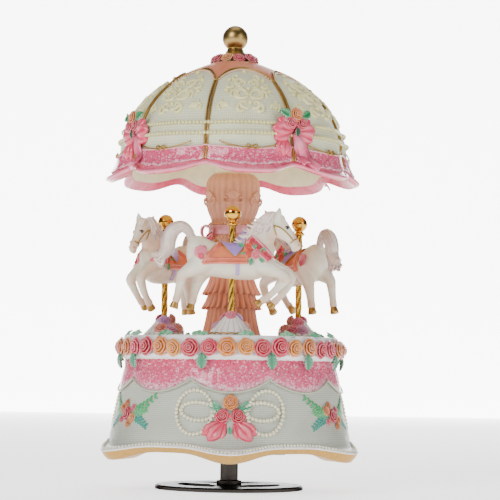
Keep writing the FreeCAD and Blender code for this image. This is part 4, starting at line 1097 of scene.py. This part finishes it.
def twistedRod(low, high, radius):
    # twisted bar: a four-lobed outline that turns once in every pitch of height
    pitch = 21.0
    z = np.arange(low, high + 0.01, 0.4)
    a = np.linspace(0, 2 * np.pi, 32, endpoint=False)
    turn = z[:, None] * 2 * np.pi / pitch
    r = radius * (0.72 + 0.30 * np.abs(np.cos(2 * (a[None] - turn))) ** 0.6)
    return block(ringPoints(r, a, z[:, None]), cappedQuads(len(z), 32))


def makePoles():
    for number, angle in enumerate(poleAngles, 1):
        place = atPole(angle)
        rod = joinParts([twistedRod(70.5, 107.6, 1.36), turnedShape([(0.02, 63.6), (1.25, 63.6), (1.25, 71),
                                                                    (0.02, 71)], 24)])
        makePiece(f"twistedPole{number}", [moved(rod, place)], [twistedBrass], replaces=(f"pole_{number}",))
        ball = [(3.35 * math.sin(t), 112 - 3.35 * math.cos(t)) for t in np.linspace(0.5, np.pi - 0.01, 28)]
        collar = [(1.4, 107.0), (2.1, 107.1), (2.3, 107.6), (2.1, 108.1), (1.6, 108.4), (1.5, 108.8)]
        makePiece(f"poleKnob{number}", [moved(turnedShape([(0.02, 107.0)] + collar + ball, 48), place)],
                  [polishedGold], replaces=(f"knob_{number}",))


def makeMounds():
    # fluted white shell facing out, roses and leaves heaped behind it
    for number, angle in enumerate(poleAngles, 1):
        def wave(a, z):
            share = np.clip((z - 63.2) / 7, 0, 1)
            return 1 + 0.07 * np.abs(np.sin(a * 9)) * (1 - share) - 0.02
        profile = [(0.02, 63.15), (8.2, 63.15), (8.5, 63.5), (8.3, 64.3), (7.2, 65.6), (5.6, 67.4),
                   (4.2, 69.2),
                   (3.0, 70.6), (2.0, 71.3), (0.02, 71.4)]
        dense = []
        for (r0, z0), (r1, z1) in zip(profile, profile[1:]):
            dense += list(zip(np.linspace(r0, r1, 5)[:-1], np.linspace(z0, z1, 5)[:-1]))
        dense.append(profile[-1])
        cone = turnedShape(dense, 126, wave=wave, paint="#ece9e4")
        a = np.arctan2(cone["v"][:, 1], cone["v"][:, 0])
        # tone alpha low in the grooves between the flutes: painted shade in the grooves
        cone["tone"][:, 3] = 0.2 + 0.75 * np.abs(np.sin(a * 9)) ** 0.6
        rim = np.linspace(0, 2 * np.pi, 96, endpoint=False)
        edge = np.stack([8.75 * np.cos(rim), 8.75 * np.sin(rim), 63.6 + 0.25 * np.abs(np.sin(rim * 9))], 1)
        gold = tube(edge, 0.34, 6, closed=True, slot=3)
        parts = [cone, gold]
        for x, y, z, size, paint, seed, lean in (
                (-5.4, 1.6, 66.2, 2.9, "#d9a9c9", 0, 42), (5.4, 1.8, 66.2, 2.9, "#e3a08c", 1, 42),
                (-3.6, 5.0, 66.0, 2.9, "#df7f9c", 2, 46), (3.4, 5.2, 66.0, 2.9, "#d9a9c9", 0, 46),
                (0.0, 6.6, 66.6, 2.9, "#e3a08c", 1, 50), (-2.6, 1.6, 69.6, 2.5, "#df7f9c", 1, 30),
                (2.6, 1.6, 69.6, 2.5, "#c9a0d0", 2, 30), (-0.2, -2.2, 70.8, 2.2, "#df7f9c", 0, 40),
                (0.0, 3.6, 70.6, 2.3, "#e3a08c", 2, 20)):
            out = math.degrees(math.atan2(y, x))
            reach = math.hypot(x, y)
            place = wallPlace(out, reach, z, 0) @ Matrix.Rotation(math.radians(-lean), 4, "X")
            flower = moved(rose(1.0, paint, seed), place @ Matrix.Scale(size, 4))
            flower["m"] = [m + 1 for m in flower["m"]]
            parts.append(flower)
        for turn in (-170, -30, 20, 60, 110, 150, 200):
            leaf = leafShape(3.6, 2.3, "#7fb79a" if turn % 60 else "#5f9f7f", teeth=3, slot=2)
            parts.append(moved(leaf, wallPlace(turn, 5.4, 66.8, 35, 180)))
        makePiece(f"poleMound{number}", [moved(part, atPole(angle)) for part in parts],
                  [flutedWhite, petalPaint, leafPaint, goldPaint], replaces=(f"pole_mound_{number}",))


makeColumn()
makeColumnBow()
makePearlBows()
makeSprays()
makePoles()
makeMounds()
print("column, base flowers and poles ready")


# local frame of one horse: +X forward, -Y is the side that faces out, the pole runs up through x 0, y 0
torsoLine = smoothLine([(-18.4, 96.4, 1.6, 2.3), (-17.0, 96.0, 4.4, 5.8), (-13.0, 95.0, 6.0, 7.9),
                        (-8, 93.6, 6.1, 7.1), (-2, 92.5, 5.8, 6.8), (4, 92.2, 5.9, 6.9), (10, 93.2, 5.8, 7.6),
                        (14.2, 94.6, 4.5, 6.8), (16.8, 95.2, 2.1, 3.9)], 60)
neckLine = [(8.2, 0, 97.0, 7.6), (10.6, 0, 101.4, 6.4), (13.2, 0, 105.3, 4.9), (16.0, 0, 108.4, 3.7),
            (18.4, 0, 109.3, 3.1)]
headLine = [(17.2, 0, 108.6, 2.8), (19.0, 0, 107.4, 3.2), (20.8, 0, 105.4, 3.0), (22.8, 0, 102.9, 2.4),
            (24.7, 0, 100.6, 2.15), (25.6, 0, 99.3, 2.0)]
legLines = {
    "nearFore": [(11.5, -3.0, 91.5, 4.2), (15.0, -3.4, 89.9, 3.4), (18.6, -3.4, 88.4, 2.55),
                 (21.5, -3.4, 86.4, 2.1),
                 (20.2, -3.4, 84.2, 1.8), (18.0, -3.4, 81.8, 1.55), (14.8, -3.4, 78.7, 1.4),
                 (13.0, -3.4, 77.5, 1.65),
                 (11.6, -3.4, 76.5, 1.4)],
    "farFore": [(13.2, 3.0, 92.0, 4.0), (17.0, 3.2, 90.6, 3.2), (21.0, 3.2, 89.0, 2.5),
                (23.8, 3.2, 87.0, 2.1),
                (23.1, 3.2, 84.2, 1.8), (21.2, 3.2, 81.0, 1.55), (18.9, 3.2, 78.4, 1.4),
                (17.6, 3.2, 77.1, 1.65),
                (16.7, 3.2, 76.0, 1.4)],
    "nearHind": [(-11.5, -3.0, 93.0, 5.2), (-14.4, -3.4, 90.4, 3.9), (-17.8, -3.4, 88.4, 2.7),
                 (-19.8, -3.4, 86.8, 2.2),
                 (-20.7, -3.4, 83.4, 1.8), (-21.6, -3.4, 79.2, 1.5), (-22.1, -3.4, 77.0, 1.65),
                 (-22.5, -3.4, 75.7, 1.4)],
    "farHind": [(-10.0, 3.0, 91.8, 5.2), (-12.0, 3.4, 88.4, 3.8), (-13.4, 3.4, 85.2, 2.5),
                (-14.6, 3.4, 81.6, 1.9),
                (-15.3, 3.4, 78.6, 1.65), (-15.8, 3.4, 76.6, 1.75), (-16.1, 3.4, 75.5, 1.5)]}
tailLine = [(-16.0, 0, 101.0, 1.4), (-17.6, 0, 104.6, 1.6), (-20.4, 0, 106.5, 2.0), (-23.8, 0, 105.0, 2.5),
            (-25.6, 0, 101.4, 2.7), (-26.2, 0, 97.6, 2.6), (-28.8, 0, 95.0, 2.1), (-32.0, 0, 95.3, 0.7)]


def limbTube(points, sides=20):
    # rounded limb: circles whose radius changes smoothly along a curve, closed by a ball at each end
    line = smoothLine(points, 8 * len(points))
    ends = beads(line[[0, -1], :3], line[[0, -1], 3], "#ffffff", rings=9, sides=16)
    return [tube(line[:, :3], line[:, 3], sides, up=(0, 1, 0.02)), ends]


def torsoShape():
    # ellipses standing across X
    a = np.linspace(0, 2 * np.pi, 40, endpoint=False)
    x, zc, wide, high = torsoLine.T[:, :, None]
    verts = np.stack([x + 0 * a, wide * np.cos(a), zc + high * np.sin(a)], 2)
    return block(verts, cappedQuads(len(torsoLine), len(a)))


def squeezed(part, factor):
    # the same lump made narrower from side to side
    return {**part, "v": part["v"] * np.array([1, factor, 1])}


moulding = {"voxel": 0.42, "rounds": 5}


def fused(parts):
    # melts overlapping lumps into one skin on a voxel grid, then relaxes it;
    # the modifiers are applied here, so the result comes back as points
    shape = makePiece("moulding", parts, [])
    remesh = shape.modifiers.new("melt", "REMESH")
    remesh.mode, remesh.voxel_size = "VOXEL", moulding["voxel"] * metre
    relax = shape.modifiers.new("relax", "SMOOTH")
    relax.factor, relax.iterations = 0.5, moulding["rounds"]
    ready = shape.evaluated_get(bpy.context.evaluated_depsgraph_get())
    mesh = ready.to_mesh()
    verts = np.empty(len(mesh.vertices) * 3)
    mesh.vertices.foreach_get("co", verts)
    loops = np.empty(len(mesh.loops), np.int32)
    mesh.loops.foreach_get("vertex_index", loops)
    totals = np.empty(len(mesh.polygons), np.int32)
    mesh.polygons.foreach_get("loop_total", totals)
    starts = np.cumsum(totals) - totals
    faces = [loops[starts[totals == n][:, None] + np.arange(n)] for n in np.unique(totals)]
    ready.to_mesh_clear()
    data = shape.data
    bpy.data.objects.remove(shape)
    bpy.data.meshes.remove(data)
    return block(verts.reshape(-1, 3) / metre, faces)


def blend(low, high, share):
    share = np.clip(share, 0, 1)[:, None]
    return np.array(low) * (1 - share) + np.array(high) * share


def horseBody():
    parts = [torsoShape()]
    for points in legLines.values():
        parts += limbTube(points)
    parts += [squeezed(piece, 0.62) for piece in limbTube(neckLine, 28)]
    parts += [squeezed(piece, 0.78) for piece in limbTube(headLine, 24)]
    parts += [squeezed(piece, 0.8) for piece in limbTube([(18.4, 0, 105.6, 2.6), (19.6, 0, 104.6, 2.7),
                                                          (21.4, 0, 103.0, 1.9)])]
    parts += [squeezed(piece, 0.9) for piece in limbTube([(25.2, 0, 100.0, 1.9), (25.8, 0, 98.9, 1.7),
                                                          (24.8, 0, 98.2, 1.3)])]
    parts += limbTube(tailLine)
    for side, tip, foot in ((-1, (18.9, 114.4), (18.0, 110.2)), (1, (12.9, 113.6), (15.4, 109.8))):
        line = [(foot[0], side * 1.4, foot[1], 1.6),
                ((foot[0] + tip[0]) / 2, side * 1.8, (foot[1] + tip[1]) / 2, 1.35),
                (tip[0], side * 1.9, tip[1], 0.4)]
        parts += limbTube(line, 14)
    body = fused(parts)
    v = body["v"]
    # peach paint on the lower legs, the muzzle and the tail root; the peach under the barrel, under the jaw
    # and over the side towards the column (+Y) is painted shade
    white, peach = hexColour("#ece9dc")[:3], hexColour("#e8c4ad")[:3]
    legs = np.clip((84 - v[:, 2]) / 9, 0, 1) * 0.75
    bellyShade = np.clip((90 - v[:, 2]) / 5, 0, 1) * (v[:, 2] > 84) * 0.4
    muzzle = np.clip((v[:, 0] - 23.5) / 3, 0, 1) * (v[:, 2] > 95) * 0.55
    throatShade = np.exp(-((v[:, 0] - 16.5) ** 2 + (v[:, 2] - 101) ** 2) / 14) * 0.7
    tail = np.clip((-17 - v[:, 0]) / 8, 0, 1) * (v[:, 2] > 92) * 0.5
    columnSideShade = np.clip(v[:, 1] / 4, 0, 1) * 0.35
    body["tone"][:, :3] = blend(white, peach, np.maximum.reduce([legs, bellyShade, muzzle, throatShade, tail, columnSideShade]))
    body["tone"][:, 3] = 0.72
    return body


def skinFinder(body):
    # two finders of points on the horse: from its side, and outwards round its barrel
    polygons = [tuple(face) for faces in body["f"] for face in faces.tolist()]
    tree = BVHTree.FromPolygons([Vector(v) for v in body["v"]], polygons)

    def find(start, aim, lift):
        # first skin point along a straight line, raised by lift towards where the line came from
        aim = Vector(aim).normalized()
        hit = tree.ray_cast(Vector(start), aim)[0]
        if hit is None:
            return Vector(start) + aim * 16
        return hit - aim * lift

    def fromSide(x, z, side, lift=0.3):
        return find((x, side * 22, z), (0, -side, 0), lift)

    def around(x, turn, lift=0.3):
        # turn is measured from straight up, positive towards +Y
        zc = float(np.interp(x, torsoLine[:, 0], torsoLine[:, 1]))
        out = Vector((0, math.sin(turn), math.cos(turn)))
        return find(Vector((x, 0, zc)) + out * 24, -out, lift)
    return fromSide, around


def saddleCloths(around):
    # blanket with a slanting back edge and the pointed saddle cloth over it, both wrapped round the skin
    def turnAt(x, z):
        zc, high = (float(np.interp(x, torsoLine[:, 0], torsoLine[:, i])) for i in (1, 3))
        return math.acos(max(-1, min(1, (z - zc) / high)))
    parts = []
    nu, nv = 26, 64
    grid = np.empty((nu, nv, 3))
    for j, v in enumerate(np.linspace(-1, 1, nv)):
        back = -4.3 - 7.7 * abs(v)
        for i, u in enumerate(np.linspace(0, 1, nu)):
            x = back + (6.4 - back) * u
            grid[i, j] = around(x, v * turnAt(x, 91.6), 0.35)
    blanket = slab(grid, 0.55, 0, "#e8a684", 0.6)
    parts.append(blanket)
    for inset, wide in ((0, 0.62), (1.7, 0.42)):
        for side in (-1, 1):
            line = []
            for t in np.linspace(0, 1, 40):
                z = 100.4 - (100.4 - 91.9 - inset) * t
                x = -4.6 - 7.0 * t + inset * 0.9
                line.append(around(x, side * turnAt(x, z), 0.75))
            for t in np.linspace(0, 1, 44):
                x = -11.6 + inset * 0.9 + (6.2 + 11.6 - inset * 1.4) * t
                line.append(around(x, side * turnAt(x, 91.9 + inset), 0.75))
            parts.append(tube(np.array([tuple(p) for p in line]), wide, 8, up=(0.01, 1, 0.02),
                              paint="#dd7440"))
    grid = np.empty((24, 52, 3))
    for j, v in enumerate(np.linspace(-1, 1, 52)):
        reach = 6.4 * (1 - abs(v)) ** 0.8 + 0.35
        for i, u in enumerate(np.linspace(-1, 1, 24)):
            x = 1.2 * abs(v) + reach * u
            grid[i, j] = around(x, v * turnAt(1.6, 94.6), 1.05)
    parts.append(slab(grid, 0.5, 0, "#b7a2d6", 0.7))
    for side in (0, -1):
        for edge in (0, -1):
            half = grid[edge, :27] if side == 0 else grid[edge, 25:]
            parts.append(tube(half, 0.3, 7, up=(0.02, 1, 0.02), slot=1))
    return parts


def strip(find, line, width, paint, lift, side):
    # flat band laid on the skin along a line in the side view
    path = smoothLine([(x, 0, z) for x, z in line], 26)
    along = unit(np.gradient(path, axis=0))
    grid = np.empty((26, 9, 3))
    for i in range(26):
        for j, w in enumerate(np.linspace(-width / 2, width / 2, 9)):
            grid[i, j] = find(path[i, 0] - along[i, 2] * w, path[i, 2] + along[i, 0] * w, side, lift)
    grid[..., 1] = np.where(np.abs(grid[..., 1]) > 9, np.median(grid[..., 1]), grid[..., 1])
    return slab(grid, 0.5, 0, paint, 0.7)


def horseTack(fromSide, around):
    parts = saddleCloths(around)
    for side in (-1, 1):
        parts.append(strip(fromSide, [(6.9, 101.8), (9.6, 99.6), (12.4, 97.0), (15.3, 93.4)], 3.7,
                           "#f08aa0", 0.45, side))
        for shift in (-1.7, 1.7):
            edge = [tuple(fromSide(x + shift * 0.7, z + shift * 0.72, side, 0.75))
                    for x, z in zip(np.linspace(6.9, 15.0, 22), np.linspace(101.8, 93.6, 22))]
            parts.append(tube(edge, 0.28, 6, up=(0, 1, 0.02), paint="#f7c3c9"))
        for step in range(6):
            spot = fromSide(7.9 + 1.35 * step, 100.9 - 1.38 * step, side, 0.55)
            flower = roseAt(Matrix.Translation(spot) @ Matrix.Rotation(side * -math.pi / 2, 4, "X"), 1.05,
                            rosePinks[2], step)
            parts.append(flower)
        for x, z, size, paint in ((6.9, 98.3, 1.9, "#e0603c"), (9.4, 95.1, 1.8, "#ee9aa6"),
                                  (6.6, 95.4, 1.5, "#e2705c"),
                                  (-12.6, 95.9, 2.6, "#f3a6b6"), (-11.4, 97.3, 1.3, "#e4728c"),
                                  (-13.8, 97.0, 1.2, "#e4728c"), (-12.4, 94.2, 1.3, "#e4728c")):
            depth = 0.75 if x > 0 else 0.4
            spot = fromSide(x, z, side, 0.2)
            place = Matrix.Translation(spot) @ Matrix.Rotation(side * -math.pi / 2, 4, "X")
            flower = rose(size, paint, int(abs(x * 3)))
            parts.append(moved(flower, place @ Matrix.Diagonal((1, 1, depth, 1))))
        for x, z, turn in ((5.0, 98.6, 70), (5.4, 95.8, 110), (7.8, 93.8, 170), (10.9, 96.4, -60),
                           (10.8, 93.8, -130),
                           (8.8, 97.4, -10)):
            spot = fromSide(x, z, side, 0.5)
            face = Matrix.Rotation(math.pi / 2, 4, "X") if side < 0 else (
                Matrix.Rotation(math.pi, 4, "Z") @ Matrix.Rotation(math.pi / 2, 4, "X"))
            place = Matrix.Translation(spot) @ face @ spinZ(-side * turn)
            parts.append(moved(leafShape(2.9, 1.6, "#4d9474" if turn % 20 else "#6fb48f", teeth=3), place))
        girth = [tuple(fromSide(2.2, z, side, 0.35)) for z in np.linspace(91.4, 87.2, 12)]
        parts.append(tube(girth, 0.75, 8, up=(0, 1, 0.02), paint="#bda9d8"))
        cheek = [tuple(fromSide(x, z, side, 0.15)) for x, z in
                 smoothLine([(16.6, 107.4, 0), (19.6, 106.2, 0), (22.2, 104.0, 0), (24.2, 101.7, 0)], 20)[:,
                                                                                                          :2]]
        brow = [tuple(fromSide(x, z, side, 0.15)) for x, z in
                smoothLine([(16.6, 107.4, 0), (16.9, 105.6, 0), (17.6, 103.4, 0)], 14)[:, :2]]
        nose = [tuple(fromSide(x, z, side, 0.15)) for x, z in
                smoothLine([(25.9, 102.2, 0), (24.6, 101.4, 0), (23.3, 100.3, 0)], 12)[:, :2]]
        parts += [tube(line, 0.3, 7, up=(0, 1, 0.02), slot=1) for line in (cheek, brow, nose)]
        eye = fromSide(22.0, 106.3, side, -0.12)
        parts.append(beads([tuple(eye)], 0.62, "#1c1716", 2, 7, 12))
        lid = [tuple(fromSide(22.0 + 0.95 * math.cos(t), 106.3 + 0.75 * math.sin(t), side, 0.08))
               for t in np.linspace(0.2, 2.9, 12)]
        parts.append(tube(lid, 0.2, 6, up=(0, 1, 0.02), slot=2, paint="#4a3a33"))
        nostril = fromSide(26.6, 99.6, side, -0.05)
        parts.append(beads([tuple(nostril)], 0.34, "#c98f7e", 0, 5, 9))
    return parts


def hoofs():
    parts = []
    for points in legLines.values():
        end, before = Vector(points[-1][:3]), Vector(points[-2][:3])
        turn = (end - before).to_track_quat("Z", "Y").to_matrix().to_4x4()
        cone = turnedShape([(0.02, -0.7), (1.25, -0.7), (1.5, 0.2), (1.85, 1.9), (1.8, 2.3), (0.02, 2.35)],
                           22, 1)
        parts.append(moved(cone, Matrix.Translation(end) @ turn))
    return parts


def strand(points, width, paint, pick):
    # lock of hair: tapering tube along a wavy line
    line = smoothLine(points, 18)
    t = np.linspace(0, 1, 18)
    line[:, 2] += 0.25 * np.sin(9 * t + pick.uniform(0, 6)) * t
    # tone alpha highest mid-lock: painted highlight along each lock, painted shade towards its root and tip
    return tube(line, width * (0.35 + 0.65 * np.sin(np.pi * np.clip(t * 0.75 + 0.2, 0, 1))) + 0.05, 6,
                up=(0, 1, 0.02), paint=paint, depth=0.55 + 0.4 * np.sin(np.pi * t))


def horseHair():
    # mane falling back over both sides of the neck, forelock, and locks along the arched tail
    pick = np.random.default_rng(5)
    paints = ("#e6dbd2", "#d6c6bf", "#eee4dc", "#cbbab6")
    parts = []
    crest = smoothLine([(17.6, 0, 111.6), (15.4, 0, 111.4), (12.2, 0, 109.0), (9.6, 0, 105.8),
                        (7.4, 0, 102.6)], 26)
    for side in (-1, 1):
        for layer in range(3):
            for i, root in enumerate(crest):
                drop = pick.uniform(0.8, 1.15)
                back = 1.0 + 0.35 * layer
                points = [tuple(root + np.array([0.6, side * 0.3, -0.4])),
                          tuple(root + np.array([-0.7 * back, side * (1.5 + 0.5 * layer),
                                                 0.3 + 0.25 * layer])),
                          tuple(root + np.array([-1.9 * back, side * (2.6 + 0.35 * layer), -2.2 * drop])),
                          tuple(root + np.array([-2.2 * back + pick.uniform(-0.6, 0.4),
                                                 side * (3.1 + 0.3 * layer),
                                                 -5.2 * drop + 1.6 * layer * 0.5])),
                          tuple(root + np.array([-3.6 * back + pick.uniform(-0.8, 0.5),
                                                 side * (3.0 + 0.2 * layer),
                                                 -7.4 * drop + 2.2 * layer]))]
                parts.append(strand(points, 0.62, paints[(i + layer) % 4], pick))
    for i in range(7):
        spread = (i - 3) * 0.45
        parts.append(strand([(17.0, spread * 0.6, 111.6), (18.8, spread, 111.8), (20.4, spread * 1.2, 110.0),
                             (21.8, spread * 1.1, 107.9)], 0.5, paints[i % 4], pick))
    spine = smoothLine(tailLine, 40)
    for i in range(46):
        turn = i * 2 * np.pi / 23 + pick.uniform(-0.1, 0.1)
        first, last = (0, 40) if i % 2 else (6, 34 + i % 5)
        line = spine[first:last]
        along = unit(np.gradient(line[:, :3], axis=0))
        side = unit(np.cross(along, np.array([0, 1, 0.02])))
        swirl = turn + 0.8 * np.linspace(0, 1, len(line)) * (1 if i % 3 else -1)
        out = side * np.cos(swirl)[:, None] + np.array([0, 1, 0]) * np.sin(swirl)[:, None] * 0.9
        path = line[:, :3] + out * (line[:, 3] * 0.95)[:, None]
        width = 0.5 * np.sin(np.pi * np.linspace(0.12, 0.97, len(line))) + 0.06
        parts.append(tube(path, width, 6, up=(0, 1, 0.02), paint=paints[i % 4], depth=0.85))
    for i in range(12):
        start = spine[24 + i % 4, :3] + np.array([0, (i - 5.5) * 0.4, -0.6])
        parts.append(strand([tuple(start), tuple(start + [-1.2, 0, -3.0]),
                             tuple(start + [-2.4, 0, -5.0 - i % 3]),
                             tuple(start + [-4.4 - (i % 3) * 0.5, 0, -6.6 + i % 3])], 0.62, paints[i % 4],
                            pick))
    return parts


def makeHorses():
    body = horseBody()
    fromSide, around = skinFinder(body)
    tack = horseTack(fromSide, around) + hoofs()
    hair = horseHair()
    body["m"] = [np.full(len(f), 0) for f in body["f"]]
    for number, angle in enumerate(poleAngles, 1):
        place = atPole(angle)
        makePiece(f"horse{number}", [moved(body, place)], [horsePaint], replaces=(f"horse_{number}",))
        makePiece(f"horseHair{number}", [moved(part, place) for part in hair], [horsePaint])
        makePiece(f"horseTack{number}", [moved(part, place) for part in tack],
                  [tackPaint, goldPaint, eyeEnamel])


makeHorses()
print("horses ready")


view = {"distance": 818, "height": 46.4, "focal": 140.8, "pitch": 3.72, "yaw": 0.52, "roll": 0.8,
        "world": 0.10, "floorGlow": 1.7, "wallGlow": 7.0}


def makeCamera():
    camera = bpy.data.objects.new("camera", bpy.data.cameras.new("camera"))
    camera.data.lens = view["focal"]
    camera.data.sensor_width = 36
    camera.location = Vector((0, -view["distance"], view["height"])) * metre
    pitch, yaw = math.radians(view["pitch"]), math.radians(view["yaw"])
    look = Vector((math.sin(yaw) * math.cos(pitch), math.cos(yaw) * math.cos(pitch), math.sin(pitch)))
    aim = look.to_track_quat("-Z", "Y")
    camera.rotation_mode = "QUATERNION"
    camera.rotation_quaternion = aim @ Quaternion((0, 0, 1), math.radians(view["roll"]))
    bpy.context.scene.collection.objects.link(camera)
    bpy.context.scene.camera = camera


def makeLight(name, place, size, power):
    # square white area light turned to the object's middle height
    lamp = bpy.data.lights.new(name, "AREA")
    lamp.shape, lamp.size, lamp.energy = "SQUARE", size, power
    holder = bpy.data.objects.new(name, lamp)
    holder.location = place
    holder.rotation_euler = (Vector((0, 0, 0.1)) - Vector(place)).to_track_quat("-Z", "Y").to_euler()
    bpy.context.scene.collection.objects.link(holder)


def makeStudio():
    makeCamera()
    makeLight("keyLight", (-0.5, -0.7, 0.62), 0.35, 6.0)
    makeLight("fillLight", (0.7, -0.6, 0.4), 0.5, 2.1)
    makeLight("topLight", (0.0, 0.1, 0.95), 0.6, 1.6)
    makeLight("backLight", (0.25, 0.8, 0.5), 0.5, 1.5)
    world = bpy.data.worlds.new("studio")
    world.use_nodes = True
    world.node_tree.nodes["Background"].inputs["Color"].default_value = (1, 1, 1, 1)
    world.node_tree.nodes["Background"].inputs["Strength"].default_value = view["world"]
    bpy.context.scene.world = world
    makeSweep("whiteFloor", [(-4, -4, 0), (4, -4, 0), (4, 1.6, 0), (-4, 1.6, 0)], view["floorGlow"])
    makeSweep("whiteBackdrop", [(-0.7, 1.6, 0), (0.7, 1.6, 0), (0.7, 1.6, 1.0), (-0.7, 1.6, 1.0)],
              view["wallGlow"])


def makeSweep(name, corners, glow):
    # overexposed white paper under and behind the object
    mesh = bpy.data.meshes.new(name)
    mesh.from_pydata(corners, [], [(0, 1, 2, 3)])
    paper, tree, shader = newMaterial(name, Roughness=0.9, Emission_Strength=glow)
    where = addNode(tree, "ShaderNodeTexCoord").outputs["Object"]
    tint = rampNode(tree, noiseNode(tree, where, 40.0, 2.0), [(0.3, "#fbfbfa"), (0.7, "#fefefe")])
    tree.links.new(tint, shader.inputs["Base Color"])
    tree.links.new(tint, shader.inputs["Emission Color"])
    mesh.materials.append(paper)
    sheet = bpy.data.objects.new(name, mesh)
    bpy.context.scene.collection.objects.link(sheet)


def dressFrame():
    # gives every CAD node that still shows its material
    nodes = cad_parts
    for names, material in shownNodes:
        for name in names:
            data = nodes[name].data
            data.materials.clear()
            data.materials.append(material)


dressFrame()
makeStudio()
